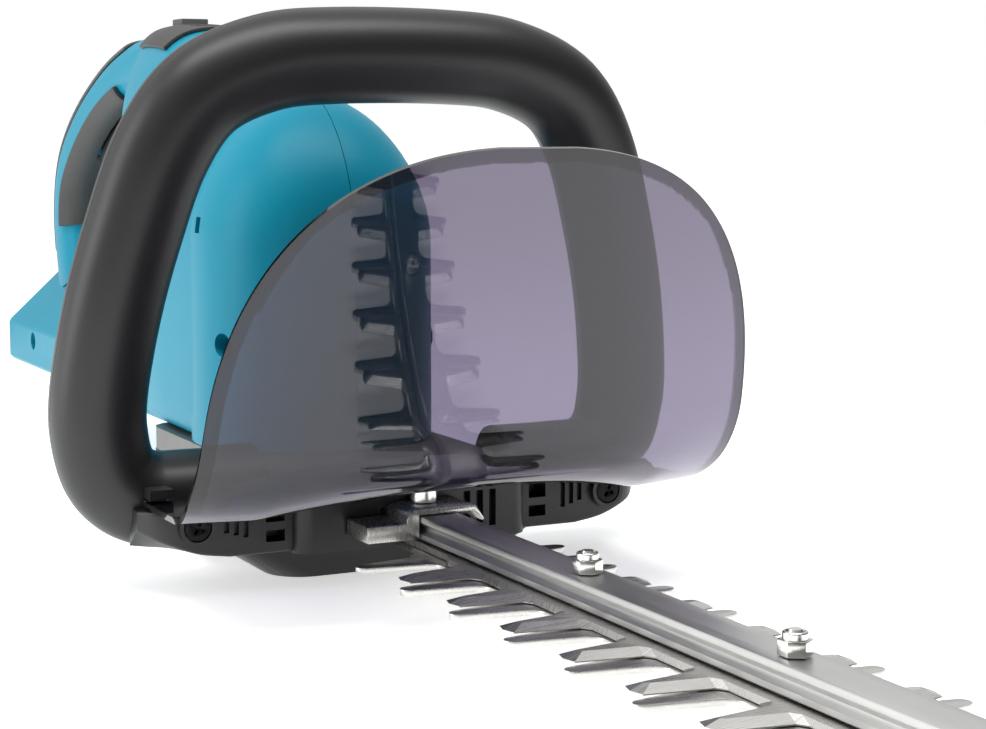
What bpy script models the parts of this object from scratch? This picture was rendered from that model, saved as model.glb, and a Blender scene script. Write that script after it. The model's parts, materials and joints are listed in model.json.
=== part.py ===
"""Cordless hedge trimmer: twin reciprocating blades, loop handle, clear guard and D-shaped rear handle.

Metres, +Z up, blades pointing to -Y. The origin lies on the flat base, below the crank axis.
"""

import math

import bmesh
import bpy
from mathutils import Matrix, Vector

MM = 0.001

# ---------------------------------------------------------------- driving sizes
GAP = 0.3 * MM  # between pieces that touch
WALL = 2.5 * MM  # moulded shells

# cutting blades
TOOTH_PITCH = 35.0 * MM
TOOTH_COUNT = 15  # long teeth on each side of the lower blade
THROW = TOOTH_PITCH / 4  # each blade travels this far either side of its middle
FIRST_TOOTH_Y = -101.5 * MM  # centre of the rearmost long tooth
BLADE_THICK = 2.0 * MM
LOWER_BLADE_Z = 12.7 * MM  # underside of the lower blade
LONG_TOOTH_REACH = 38.2 * MM
SHORT_TOOTH_REACH = 34.2 * MM
LOWER_SPINE_HALF = 12.6 * MM
UPPER_SPINE_HALF = 11.4 * MM
NECK_HALF = 8.5 * MM
BLADE_NOSE = 30.0 * MM  # from the last tooth's centre to the tip

# guide bar and its screws
BAR_HALF = 7.25 * MM
BAR_HEIGHT = 8.1 * MM
BAR_LIFT = 0.5 * MM  # dark line between the bar and the upper blade
BAR_BOLT_PITCH = 3 * TOOTH_PITCH
BAR_BOLT_COUNT = 5
FIRST_BOLT_Y = FIRST_TOOTH_Y - 84.0 * MM
BRACKET_BOLT_Y = -71.0 * MM
BOLT_RADIUS = 2.5 * MM
BAR_REAR_Y = -46.0 * MM

# drive
GEAR_MODULE = 1.5 * MM
GEAR_TEETH = 42
PINION_TEETH = 9
GEAR_FACE = 6.0 * MM
GEAR_Z = 19.4 * MM
ECCENTRIC_RADIUS = 15.0 * MM
CRANK_SHAFT_RADIUS = 5.0 * MM
BEARING_OUTER = 11.0 * MM
BEARING_WIDTH = 5.0 * MM
BEARING_LOW_Z = 4.6 * MM
MOTOR_BEARING_OUTER = 7.0 * MM
MOTOR_RADIUS = 19.0 * MM
MOTOR_LENGTH = 57.0 * MM
MOTOR_SHAFT_RADIUS = 2.3 * MM

# under cover
BASE_HALF = 44.0 * MM
BASE_SHOULDER_HALF = 60.0 * MM
BASE_FRONT_Y = -50.0 * MM
BASE_REAR_Y = 98.0 * MM
CASE_FRONT_Y = -43.5 * MM
CASE_LOW_Z = 27.0 * MM
CASE_POST_RADIUS = 5.0 * MM
YOKE_ROOM = 2.35 * MM  # between a yoke and the case posts
BASE_SHOULDER_Z = 11.6 * MM

# teal housing
HOUSING_BOTTOM_Z = 36.0 * MM
BARREL_RADIUS = 45.0 * MM
BARREL_Y = 31.9 * MM
BARREL_SIDES = 24
BODY_SIDES = 20
GRIP_SIDES = 12
DOME_START_Z = 113.0 * MM
DOME_HEIGHT = 55.0 * MM
RIDGE_Z = 197.5 * MM
BODY_REAR_Y = 188.0 * MM
FOOT_HALF = 37.5 * MM
FOOT_BOTTOM_Z = 35.0 * MM
FOOT_SIDE_TOP_Z = 56.0 * MM
FOOT_TOP_Z = 80.5 * MM
FOOT_TOP_HALF = 12.0 * MM
FOOT_FRONT_Y = 100.0 * MM
FOOT_REAR_Y = 358.0 * MM
GRIP_HALF = 17.5 * MM

# loop handle
LOOP_RADIUS = 16.4 * MM
LOOP_WALL = 3.0 * MM
LOOP_TOP_Z = 179.8 * MM
LOOP_BOTTOM_Z = 28.9 * MM
LOOP_LEAN = math.radians(7.5)
LOOP_FOOT_Y = -21.5 * MM  # where the loop's plane meets the base plane
PLINTH_FRONT_Y = -60.0 * MM
NOSE_HALF = 44.0 * MM
LOOP_GATE = 47.5 * MM  # the loop's feet end here, either side of the gear case
BAR_PASSAGE_HALF = 13.5 * MM
LOOP_SIDES = 4  # facets round each half of the tube
LOOP_STEPS = 2  # path points between two knots
FRONT_LEVER_HALF = 42.0 * MM
FRONT_LEVER_TRAVEL = math.radians(8)  # how far it stands open
FRONT_SWITCH_HALF = 9.0 * MM
PLINTH_REAR_Y = -41.0 * MM
PLINTH_TOP_Z = 29.8 * MM
NOSE_TOP_Z = 33.4 * MM
PLINTH_BOTTOM_Z = 12.0 * MM
HANDLE_SCREW_X = 78.0 * MM
HANDLE_SCREW_Z = 24.1 * MM
SCREW_END_Y = -27.0 * MM
PILOT_RADIUS = 2.3 * MM
REAR_POST_INSET = 14.9 * MM  # the rear posts end this far inside the tube's back

# guard
GUARD_THICK = 2.0 * MM
GUARD_HALF = 96.0 * MM
GUARD_TOP_Z = 150.0 * MM
GUARD_BEND = 45.0 * MM
GUARD_LEAN = math.radians(14.0)
GUARD_BOW = 340.0 * MM  # radius of the sideways bow
GUARD_ARCH = 7.0 * MM  # rise of the flange in the middle
GUARD_ARCH_HALF = 70.0 * MM

GUARD_REAR_Y = -48.5 * MM
GUARD_FOLD_Y = -91.0 * MM
GUARD_ROUND_Z = 45.0 * MM  # the sides start to round in above this
GUARD_POWER = 2.5
GUARD_FLANGE_HALF = 92.5 * MM

# battery slide
SLIDE_HALF = 31.0 * MM
SLIDE_FRONT_Y = 235.0 * MM
SLIDE_DEPTH = 11.0 * MM

# controls; outlines are (y, z) in side view
TRIGGER_PIVOT = (212.0 * MM, 175.5 * MM)
TRIGGER_OUTLINE = [
    (206.0 * MM, 167.0 * MM),
    (214.0 * MM, 163.5 * MM),
    (232.0 * MM, 154.0 * MM),
    (248.0 * MM, 143.5 * MM),
    (264.0 * MM, 138.5 * MM),
    (279.0 * MM, 137.0 * MM),
    (284.0 * MM, 140.5 * MM),
    (282.0 * MM, 145.5 * MM),
    (268.0 * MM, 152.5 * MM),
    (250.0 * MM, 161.0 * MM),
    (232.0 * MM, 169.0 * MM),
    (217.0 * MM, 179.0 * MM),
    (208.0 * MM, 179.0 * MM),
]
TRIGGER_SLOT = [
    (203.0 * MM, 181.0 * MM),
    (203.0 * MM, 150.0 * MM),
    (250.0 * MM, 125.0 * MM),
    (288.5 * MM, 125.0 * MM),
    (288.5 * MM, 156.0 * MM),
    (262.0 * MM, 170.0 * MM),
    (230.0 * MM, 180.0 * MM),
]
TRIGGER_PIN_RADIUS = 1.5 * MM
TRIGGER_PIN_REACH = 15.0 * MM
TRIGGER_HALF = 8.4 * MM
TRIGGER_SLOT_HALF = 9.3 * MM
TRIGGER_SWITCH_BOX = ((-7.0 * MM, 225.0 * MM, 176.2 * MM), (7.0 * MM, 242.0 * MM, 184.0 * MM))
LOCK_OFF_BOX = ((-6.0 * MM, 163.0 * MM, 186.0 * MM), (6.0 * MM, 176.0 * MM, 201.5 * MM))
CONTROLLER_BOX = ((-22.0 * MM, 112.0 * MM, 70.0 * MM), (22.0 * MM, 168.0 * MM, 88.0 * MM))
TERMINAL_HALF = 20.0 * MM
TERMINAL_DEPTH = 10.0 * MM
CONTACT_PITCH = 14.0 * MM
CONTACT_THICK = 1.0 * MM
CONTACT_LENGTH = 17.0 * MM

# housing screws: y, z and how far out the wall is there
HOUSING_SCREWS = (
    (13.6 * MM, 75.7 * MM, 42.0 * MM),
    (310.0 * MM, 48.5 * MM, FOOT_HALF),
    (110.0 * MM, 130.0 * MM, 42.5 * MM),
    (180.0 * MM, 60.0 * MM, FOOT_HALF - 2 * MM),
)
SCREW_SINK = 9.0 * MM

# ---------------------------------------------------------------- worked-out sizes
UPPER_BLADE_Z = LOWER_BLADE_Z + BLADE_THICK + GAP
BAR_Z = UPPER_BLADE_Z + BLADE_THICK + BAR_LIFT
BAR_TOP_Z = BAR_Z + BAR_HEIGHT
CRANK_REST = -math.pi / 4  # crank phase at rest, a quarter of the way through a stroke
BLADE_RATE = THROW / (math.pi / 2)  # travel per radian of crank
REST_SHIFT = BLADE_RATE * CRANK_REST  # upper blade's place at rest; the lower blade mirrors it
UPPER_LEAD = 2 * THROW + 2 * REST_SHIFT  # short teeth sit this far behind the long ones at rest
YOKE_SLACK = (math.sin(math.pi / 4) - 0.5) * THROW + GAP  # sine against the constant rate
YOKE_SLOT_HALF_X = THROW + ECCENTRIC_RADIUS + GAP
YOKE_SLOT_HALF_Y = ECCENTRIC_RADIUS + YOKE_SLACK
YOKE_RIM = 5.5 * MM
CASE_POST_X = YOKE_SLOT_HALF_X + YOKE_RIM + YOKE_ROOM + CASE_POST_RADIUS
CASE_HALF = CASE_POST_X + CASE_POST_RADIUS + 2 * GAP + WALL
GEAR_PITCH_RADIUS = GEAR_MODULE * GEAR_TEETH / 2
PINION_PITCH_RADIUS = GEAR_MODULE * PINION_TEETH / 2
MOTOR_Y = GEAR_PITCH_RADIUS + PINION_PITCH_RADIUS
BEARING_TOP_Z = GEAR_Z + GEAR_FACE + 1.5 * MM
MOTOR_Z = HOUSING_BOTTOM_Z + 3.0 * MM
GUARD_FLANGE_Z = PLINTH_TOP_Z + GAP + GUARD_THICK / 2
BLADE_TIP_Y = FIRST_TOOTH_Y - (TOOTH_COUNT - 1) * TOOTH_PITCH - BLADE_NOSE
BOLT_YS = [FIRST_BOLT_Y - k * BAR_BOLT_PITCH for k in range(BAR_BOLT_COUNT)]

PARTS = "hedge_trimmer"
CUTTERS = "cutters"


# ---------------------------------------------------------------- scene and objects
def clear_scene():
    for obj in list(bpy.data.objects):
        bpy.data.objects.remove(obj, do_unlink=True)
    for collection in list(bpy.data.collections):
        bpy.data.collections.remove(collection)


def collection_named(name):
    found = bpy.data.collections.get(name)
    if found is None:
        found = bpy.data.collections.new(name)
        bpy.context.scene.collection.children.link(found)
    return found


def material_named(name, colour, metallic, roughness, alpha=1.0):
    found = bpy.data.materials.get(name)
    if found:
        return found
    made = bpy.data.materials.new(name)
    made.use_nodes = True
    shader = made.node_tree.nodes["Principled BSDF"]
    shader.inputs["Base Color"].default_value = (*colour, 1.0)
    shader.inputs["Metallic"].default_value = metallic
    shader.inputs["Roughness"].default_value = roughness
    shader.inputs["Alpha"].default_value = alpha
    made.diffuse_color = (*colour, alpha)
    return made


def teal():
    return material_named("teal_nylon", (0.0, 0.32, 0.42), 0.0, 0.45)


def black():
    return material_named("black_nylon", (0.02, 0.02, 0.02), 0.0, 0.5)


def rubber():
    return material_named("grey_elastomer", (0.11, 0.11, 0.105), 0.0, 0.75)


def steel():
    return material_named("ground_steel", (0.62, 0.62, 0.6), 1.0, 0.3)


def zinc():
    return material_named("zinc_plate", (0.7, 0.7, 0.68), 1.0, 0.25)


def aluminium():
    return material_named("aluminium", (0.72, 0.72, 0.72), 1.0, 0.4)


def cast_alloy():
    return material_named("die_cast_alloy", (0.2, 0.2, 0.19), 0.6, 0.55)


def smoke():
    return material_named("smoke_polycarbonate", (0.2, 0.16, 0.22), 0.0, 0.05, 0.4)


def copper():
    return material_named("copper", (0.8, 0.4, 0.2), 1.0, 0.35)


def dark_steel():
    return material_named("lamination_steel", (0.12, 0.12, 0.13), 0.8, 0.5)


def link(name, mesh, material=None):
    """Adds a mesh as a part, or as a hidden cutter where it has no material."""
    obj = bpy.data.objects.new(name, mesh)
    if material:
        mesh.materials.clear()
        mesh.materials.append(material)
        collection_named(PARTS).objects.link(obj)
    else:
        obj.hide_render = True
        obj.display_type = "WIRE"
        collection_named(CUTTERS).objects.link(obj)
    return obj


def finish_mesh(name, bm, material=None, smooth=True):
    bmesh.ops.recalc_face_normals(bm, faces=bm.faces)
    mesh = bpy.data.meshes.new(name)
    bm.to_mesh(mesh)
    bm.free()
    if smooth:
        mesh.shade_smooth()
        mesh.set_sharp_from_angle(angle=math.radians(35))
    return link(name, mesh, material)


def loft(name, rings, material=None):
    """Skins rings of equal length in turn and caps both ends."""
    bm = bmesh.new()
    rows = [[bm.verts.new(point) for point in ring] for ring in rings]
    count = len(rows[0])
    for low, high in zip(rows, rows[1:]):
        for i in range(count):
            j = (i + 1) % count
            bm.faces.new((low[i], low[j], high[j], high[i]))
    bm.faces.new(rows[0])
    bm.faces.new(rows[-1])
    return finish_mesh(name, bm, material)


def plate(name, outline, low, high, material=None, top_outline=None):
    """A flat piece in XY; a second outline of the same length makes its flanks slope."""
    top = top_outline or outline
    rings = [[(x, y, low) for x, y in outline], [(x, y, high) for x, y in top]]
    return loft(name, rings, material)


def slab(name, lows, highs, material=None):
    """A rectangular block between two corners."""
    bm = bmesh.new()
    bmesh.ops.create_cube(bm, size=1.0)
    lows, highs = Vector(lows), Vector(highs)
    size = highs - lows
    bmesh.ops.scale(bm, vec=size, verts=bm.verts)
    bmesh.ops.translate(bm, vec=(lows + highs) / 2, verts=bm.verts)
    return finish_mesh(name, bm, material, smooth=False)


def rod(name, radius, start, end, material=None, sides=20, end_radius=None):
    """A cylinder, or a cone where end_radius is given, between two points."""
    start, end = Vector(start), Vector(end)
    along = end - start
    bm = bmesh.new()
    last = radius if end_radius is None else end_radius
    bmesh.ops.create_cone(
        bm, cap_ends=True, segments=sides, radius1=radius, radius2=last, depth=along.length
    )
    turn = along.to_track_quat("Z", "Y").to_matrix().to_4x4()
    bmesh.ops.transform(bm, matrix=Matrix.Translation((start + end) / 2) @ turn, verts=bm.verts)
    return finish_mesh(name, bm, material)


def boolean(obj, other, operation):
    """Joins, cuts or keeps the overlap with another object, which then becomes a helper."""
    step = obj.modifiers.new(operation.lower(), "BOOLEAN")
    step.operation = operation
    step.solver = "EXACT"
    step.object = other
    return obj


def cut(obj, *cutters):
    for cutter in cutters:
        boolean(obj, cutter, "DIFFERENCE")
    return obj


def join(obj, *others):
    for other in others:
        boolean(obj, other, "UNION")
    return obj


def keep_inside(obj, other):
    return boolean(obj, other, "INTERSECT")


def baked(obj, material):
    """A part made from a helper's finished shape."""
    bpy.context.view_layer.update()
    graph = bpy.context.evaluated_depsgraph_get()
    bm = bmesh.new()
    bm.from_mesh(bpy.data.meshes.new_from_object(obj.evaluated_get(graph)))
    bmesh.ops.remove_doubles(bm, verts=bm.verts, dist=0.01 * MM)
    bmesh.ops.dissolve_degenerate(bm, edges=bm.edges, dist=0.01 * MM)
    bmesh.ops.triangulate(bm, faces=bm.faces)
    name = obj.name
    obj.name = f"{name}_blank"
    return finish_mesh(name, bm, material)


def mirrored_copy(name, obj):
    """The same piece for the other side of the middle plane."""
    bm = bmesh.new()
    bm.from_mesh(obj.data)
    bmesh.ops.scale(bm, vec=(-1, 1, 1), verts=bm.verts)
    return finish_mesh(name, bm, obj.data.materials[0])


def round_edges(obj, width, segments=2, angle=40):
    step = obj.modifiers.new("rounded", "BEVEL")
    step.width = width
    step.segments = segments
    step.limit_method = "ANGLE"
    step.angle_limit = math.radians(angle)
    return obj


# ---------------------------------------------------------------- outlines
def superellipse(half_a, half_b, power, angle):
    """2 is an ellipse, larger powers are boxier."""
    c, s = math.cos(angle), math.sin(angle)
    a = math.copysign(abs(c) ** (2 / power), c) * half_a
    b = math.copysign(abs(s) ** (2 / power), s) * half_b
    return a, b


def full_turn(count):
    return [2 * math.pi * i / count for i in range(count)]


def oval(half_a, half_b, power, count):
    return [superellipse(half_a, half_b, power, angle) for angle in full_turn(count)]


def arc(centre, radius, start, end, steps):
    """Points along an arc, angles in degrees."""
    points = []
    for i in range(steps + 1):
        angle = math.radians(start + (end - start) * i / steps)
        points.append((centre[0] + radius * math.cos(angle), centre[1] + radius * math.sin(angle)))
    return points


def rounded_box(low, high, radius, steps=3):
    """A rectangle with round corners, anticlockwise."""
    (x0, y0), (x1, y1) = low, high
    r = radius
    left, right, front, rear = x0 + r, x1 - r, y0 + r, y1 - r
    corners = [((right, front), -90), ((right, rear), 0), ((left, rear), 90), ((left, front), 180)]
    points = []
    for centre, start in corners:
        points += arc(centre, r, start, start + 90, steps)
    return points


def smooth_path(points, steps):
    """A Catmull-Rom curve through the points."""
    knots = [Vector(p) for p in points]
    ends = [2 * knots[0] - knots[1]] + knots + [2 * knots[-1] - knots[-2]]
    path = []
    for a, b, c, d in zip(ends, ends[1:], ends[2:], ends[3:]):
        for i in range(steps):
            t = i / steps
            square = (2 * a - 5 * b + 4 * c - d) * t**2
            cube = (3 * b - a - 3 * c + d) * t**3
            path.append(0.5 * (2 * b + (c - a) * t + square + cube))
    path.append(knots[-1])
    return path


# ---------------------------------------------------------------- blades
def mirrored_outline(right_side):
    """Closes an outline given down its right side by its mirror image."""
    return right_side + [(-x, y) for x, y in reversed(right_side)]


def long_tooth(y, spine):
    """Right-hand edge of one blunt tooth, rear to front."""
    root = 6.4 * MM
    tip = 2.8 * MM
    reach = LONG_TOOTH_REACH
    return [
        (spine, y + root + 4.5 * MM),
        (spine + 3.0 * MM, y + root),
        (reach - tip, y + tip),
        (reach, y + tip * 0.4),
        (reach, y - tip * 0.4),
        (reach - tip, y - tip),
        (spine + 3.0 * MM, y - root),
        (spine, y - root - 4.5 * MM),
    ]


def short_tooth(y, spine, shrink):
    """Right-hand edge of one ground tooth; shrink is how far its top land sits inside its edge."""
    root = 7.6 * MM - shrink
    tip = 5.6 * MM - shrink
    reach = SHORT_TOOTH_REACH - shrink
    return [
        (spine, y + root + 3.0 * MM),
        (spine + 2.0 * MM, y + root),
        (reach - 1.2 * MM, y + tip * 0.8),
        (reach, y),
        (reach - 1.2 * MM, y - tip * 0.8),
        (spine + 2.0 * MM, y - root),
        (spine, y - root - 3.0 * MM),
    ]


def blade_outline(tooth, first, count, spine, yoke_y, tip_y):
    """Whole blade: yoke, neck, toothed spine and nose."""
    outer_x = YOKE_SLOT_HALF_X + YOKE_RIM
    outer_y = YOKE_SLOT_HALF_Y + YOKE_RIM
    corner = 9.0 * MM
    side = arc((outer_x - corner, yoke_y + outer_y - corner), corner, 90, 0, 3)
    side += arc((outer_x - corner, yoke_y - outer_y + corner), corner, 0, -90, 3)
    side.append((NECK_HALF, yoke_y - outer_y))
    side.append((NECK_HALF, first + 21.0 * MM))
    side.append((spine, first + 14.0 * MM))
    for n in range(count):
        side += tooth(first - n * TOOTH_PITCH, spine)
    side.append((spine, tip_y + 9.0 * MM))
    side.append((spine * 0.75, tip_y + 2.0 * MM))
    side.append((spine * 0.35, tip_y))
    return mirrored_outline(side)


def slot_cutter(name, y_low, y_high, half, z_low, z_high):
    """A round-ended slot along Y."""
    outline = arc((0, y_high - half), half, 0, 180, 4) + arc((0, y_low + half), half, 180, 360, 4)
    return plate(name, outline, z_low, z_high)


def cut_blade(blade, name, shift, low):
    """Slots for the bolts, long enough for the whole stroke, and the yoke's slot."""
    back = THROW - shift
    front = THROW + shift
    half = BOLT_RADIUS + GAP
    z_low, z_high = low - BLADE_THICK, low + 2 * BLADE_THICK
    for index, y in enumerate([BRACKET_BOLT_Y] + BOLT_YS):
        cutter = slot_cutter(f"{name}_slot_{index}", y - back - half, y + front + half, half, z_low, z_high)
        cut(blade, cutter)
    yoke = oval(YOKE_SLOT_HALF_X, YOKE_SLOT_HALF_Y, 4.0, 20)
    cut(blade, plate(f"{name}_yoke_slot", [(x, y + shift) for x, y in yoke], z_low, z_high))
    return blade


def make_lower_blade():
    shift = -REST_SHIFT
    outline = blade_outline(long_tooth, FIRST_TOOTH_Y, TOOTH_COUNT, LOWER_SPINE_HALF, shift, BLADE_TIP_Y)
    blade = plate("lower_blade", outline, LOWER_BLADE_Z, LOWER_BLADE_Z + BLADE_THICK, steel())
    return cut_blade(blade, "lower", shift, LOWER_BLADE_Z)


def make_upper_blade():
    shift = REST_SHIFT
    bevel = 4.6 * MM
    first = FIRST_TOOTH_Y + UPPER_LEAD - TOOTH_PITCH
    count = TOOTH_COUNT - 1
    tip_y = BLADE_TIP_Y + 10.0 * MM

    def edge(y, spine):
        return short_tooth(y, spine, 0.0)

    def land(y, spine):
        return short_tooth(y, spine, bevel)

    bottom = blade_outline(edge, first, count, UPPER_SPINE_HALF, shift, tip_y)
    top = blade_outline(land, first, count, UPPER_SPINE_HALF - 0.6 * MM, shift, tip_y + 0.6 * MM)
    low = UPPER_BLADE_Z
    blade = plate("upper_blade", bottom, low, low + BLADE_THICK, steel(), top)
    return cut_blade(blade, "upper", shift, low)


# ---------------------------------------------------------------- guide bar and fasteners
def make_guide_bar():
    """Extruded bar with a shallow cove down each side."""
    w, h = BAR_HALF, BAR_HEIGHT
    cove = 1.6 * MM
    right = [
        (w - 1.2 * MM, 0),
        (w, 0.5 * MM),
        (w, 0.22 * h),
        (w - cove, 0.36 * h),
        (w - cove, 0.60 * h),
        (w, 0.76 * h),
        (w, h - 0.5 * MM),
        (w - 0.5 * MM, h),
    ]
    section = right + [(-x, z) for x, z in reversed(right)]
    tip_y = BLADE_TIP_Y + 8.0 * MM
    rings = [[(x, y, BAR_Z + z) for x, z in section] for y in (BAR_REAR_Y, tip_y)]
    bar = loft("guide_bar", rings, aluminium())
    for index, y in enumerate([BRACKET_BOLT_Y] + BOLT_YS):
        ends = ((0, y, BAR_Z - 2 * MM), (0, y, BAR_TOP_Z + 2 * MM))
        cut(bar, rod(f"bar_hole_{index}", BOLT_RADIUS + GAP, *ends, sides=12))
    return bar


def make_bolt(name, y, top_z):
    """Round-headed screw that holds the blades up against the bar."""
    low = LOWER_BLADE_Z - GAP
    head_height = 3.2 * MM
    head = rod(name, 4.6 * MM, (0, y, low - head_height), (0, y, low), zinc(), 16)
    shank = rod(f"{name}_shank", BOLT_RADIUS, (0, y, low - MM), (0, y, top_z), None, 12)
    return join(head, shank)


def make_lock_nut(name, y):
    """Hexagon nut with a lower collar that grips the thread."""
    low = BAR_TOP_Z + GAP
    hexagon = rod(name, 4.6 * MM, (0, y, low), (0, y, low + 4.2 * MM), zinc(), 6)
    collar = rod(f"{name}_collar", 3.6 * MM, (0, y, low + 4 * MM), (0, y, low + 6.4 * MM), None, 12)
    bore = rod(f"{name}_bore", BOLT_RADIUS + GAP, (0, y, low - MM), (0, y, low + 8 * MM), None, 12)
    return cut(join(hexagon, collar), bore)


def make_bar_fasteners():
    for index, y in enumerate(BOLT_YS, 1):
        make_bolt(f"bar_bolt_{index}", y, BAR_TOP_Z + 7.4 * MM)
        make_lock_nut(f"bar_nut_{index}", y)


def make_bracket():
    """Folded plate over the bar's rear end, with a stepped leg on its left."""
    y0, y1 = -84.0 * MM, PLINTH_FRONT_Y - 6.0 * MM
    low = BAR_TOP_Z + GAP
    thick = 2.0 * MM
    side = BAR_HALF + GAP
    leg = 4.6 * MM
    foot_z = BAR_Z + 0.3 * MM
    foot_top = foot_z + 5.6 * MM
    section = [
        (side, low),
        (13.0 * MM, low),
        (16.0 * MM, low - 3.6 * MM),
        (17.0 * MM, low - 3.2 * MM),
        (13.6 * MM, low + thick),
        (-side - 1.6 * MM, low + thick),
        (-side - leg + 0.8 * MM, low + thick - 1.4 * MM),
        (-side - leg, low - MM),
        (-side - leg, foot_top),
        (-26.5 * MM, foot_top),
        (-26.5 * MM, foot_z),
        (-side, foot_z),
        (-side, low),
    ]
    rings = [[(x, y, z) for x, z in section] for y in (y0, y1)]
    bracket = loft("bar_bracket", rings, zinc())
    hole = ((0, BRACKET_BOLT_Y, low - MM), (0, BRACKET_BOLT_Y, low + thick + MM))
    cut(bracket, rod("bracket_hole", BOLT_RADIUS + GAP, *hole, sides=12))
    seat = low + thick + GAP
    nut_ends = ((0, BRACKET_BOLT_Y, seat), (0, BRACKET_BOLT_Y, seat + 6 * MM))
    nut = rod("bracket_nut", 4.7 * MM, *nut_ends, zinc(), 20)
    bore = ((0, BRACKET_BOLT_Y, seat - MM), (0, BRACKET_BOLT_Y, seat + 5 * MM))
    cut(nut, rod("bracket_nut_bore", BOLT_RADIUS + GAP, *bore, sides=12))
    make_bolt("bracket_bolt", BRACKET_BOLT_Y, seat + 4.5 * MM)


# ---------------------------------------------------------------- drive
def gear_outline(teeth, module, phase, thin=0.39):
    """Straight-flanked teeth with backlash; a tooth is centred on phase."""
    pitch = module * teeth / 2
    tip = pitch + 0.85 * module
    root = pitch - 1.15 * module
    step = 2 * math.pi / teeth
    points = []
    for n in range(teeth):
        middle = phase + n * step
        for radius, share in ((root, -0.62), (tip, -0.42), (tip, 0.42), (root, 0.62)):
            angle = middle + share * 2 * thin * step / 2
            points.append((radius * math.cos(angle), radius * math.sin(angle)))
    return points


def make_crank():
    """Shaft with two opposed eccentrics, and the gear that turns it."""
    low, high = 4.8 * MM, BEARING_TOP_Z + BEARING_WIDTH - 0.1 * MM
    shaft = rod("crank_shaft", CRANK_SHAFT_RADIUS, (0, 0, low), (0, 0, high), steel(), 20)
    levels = ((UPPER_BLADE_Z, 1), (LOWER_BLADE_Z, -1))
    for z, side in levels:
        x = side * THROW * math.cos(CRANK_REST)
        y = side * THROW * math.sin(CRANK_REST)
        name = "eccentric_high" if side > 0 else "eccentric_low"
        disc = rod(name, ECCENTRIC_RADIUS, (x, y, z - 0.1 * MM), (x, y, z + BLADE_THICK + 0.1 * MM), None, 32)
        join(shaft, disc)
    collar = rod("crank_collar", 8 * MM, (0, 0, UPPER_BLADE_Z + 1 * MM), (0, 0, GEAR_Z - GAP), None, 20)
    join(shaft, collar)
    gap_phase = math.pi / 2 - math.pi / GEAR_TEETH
    gear = plate(
        "crank_gear", gear_outline(GEAR_TEETH, GEAR_MODULE, gap_phase), GEAR_Z, GEAR_Z + GEAR_FACE, steel()
    )
    ends = ((0, 0, GEAR_Z - MM), (0, 0, GEAR_Z + 2 * GEAR_FACE))
    cut(gear, rod("gear_bore", CRANK_SHAFT_RADIUS + GAP, *ends, None, 20))


def make_ring(name, x, y, inner, outer, low, high, material, sides=24):
    """A bearing or bush as one turned ring."""
    ring = rod(name, outer, (x, y, low), (x, y, high), material, sides)
    return cut(ring, rod(f"{name}_bore", inner, (x, y, low - MM), (x, y, high + MM), None, sides))


def make_bearings():
    inner = CRANK_SHAFT_RADIUS + GAP
    for word, low in (("lower", BEARING_LOW_Z), ("upper", BEARING_TOP_Z)):
        high = low + BEARING_WIDTH
        make_ring(f"crank_bearing_{word}", 0, 0, inner, BEARING_OUTER, low, high, steel())


def make_motor():
    """Brushed motor: can, end cap, magnets, rotor, pinion and fan."""
    x, y = 0.0, MOTOR_Y
    low, high = MOTOR_Z, MOTOR_Z + MOTOR_LENGTH
    skin = 1.6 * MM
    can = rod("motor_can", MOTOR_RADIUS, (x, y, low), (x, y, high), dark_steel(), 28)
    room = rod("motor_can_room", MOTOR_RADIUS - skin, (x, y, low + skin), (x, y, high + MM), None, 28)
    seat = MOTOR_BEARING_OUTER + GAP
    mouth = rod("motor_can_mouth", seat, (x, y, low - MM), (x, y, low + 2 * skin), None, 16)
    cut(can, room, mouth)
    inner, outer = MOTOR_SHAFT_RADIUS + GAP, MOTOR_BEARING_OUTER
    make_ring("motor_bearing_lower", x, y, inner, outer, low + GAP, low + GAP + 4 * MM, steel(), 16)
    cap = rod("motor_end_cap", MOTOR_RADIUS, (x, y, high + GAP), (x, y, high + 5 * MM), black(), 28)
    cap_bore = rod("motor_cap_bore", seat, (x, y, high - MM), (x, y, high + 6 * MM), None, 16)
    cut(cap, cap_bore)
    make_ring("motor_bearing_upper", x, y, inner, outer, high + GAP, high + 4.5 * MM, steel(), 16)
    for side, word in ((-1, "left"), (1, "right")):
        make_magnet(f"motor_magnet_{word}", side, y, low + 8 * MM, high - 6 * MM)
    shaft_low = GEAR_Z - 0.6 * MM
    rotor = rod("motor_rotor", MOTOR_SHAFT_RADIUS, (x, y, shaft_low), (x, y, high + 18 * MM), steel(), 16)
    stack = rod("rotor_stack", 11.5 * MM, (x, y, low + 12 * MM), (x, y, high - 16 * MM), None, 24)
    commutator = rod("commutator", 7 * MM, (x, y, high - 14 * MM), (x, y, high - 4 * MM), None, 16)
    neck = rod("rotor_neck", 5 * MM, (x, y, high - 17 * MM), (x, y, high - 13 * MM), None, 16)
    join(rotor, stack, commutator, neck)
    outline = gear_outline(PINION_TEETH, GEAR_MODULE, -math.pi / 2)
    pinion = plate(
        "motor_pinion", [(px, py + y) for px, py in outline], GEAR_Z, GEAR_Z + GEAR_FACE + 0.6 * MM, steel()
    )
    bore_ends = ((x, y, GEAR_Z - MM), (x, y, GEAR_Z + 2 * GEAR_FACE))
    cut(pinion, rod("pinion_bore", inner, *bore_ends, None, 16))
    make_fan(high + 8 * MM, y)


def make_magnet(name, side, y, low, high):
    """A curved magnet against the can's wall."""
    outer = MOTOR_RADIUS - 1.6 * MM - GAP
    inner = outer - 4.2 * MM
    spread = 62
    outline = arc((0, y), outer, -spread, spread, 8) + arc((0, y), inner, spread, -spread, 8)
    return plate(name, [(side * px, py) for px, py in outline], low, high, dark_steel())


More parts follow.
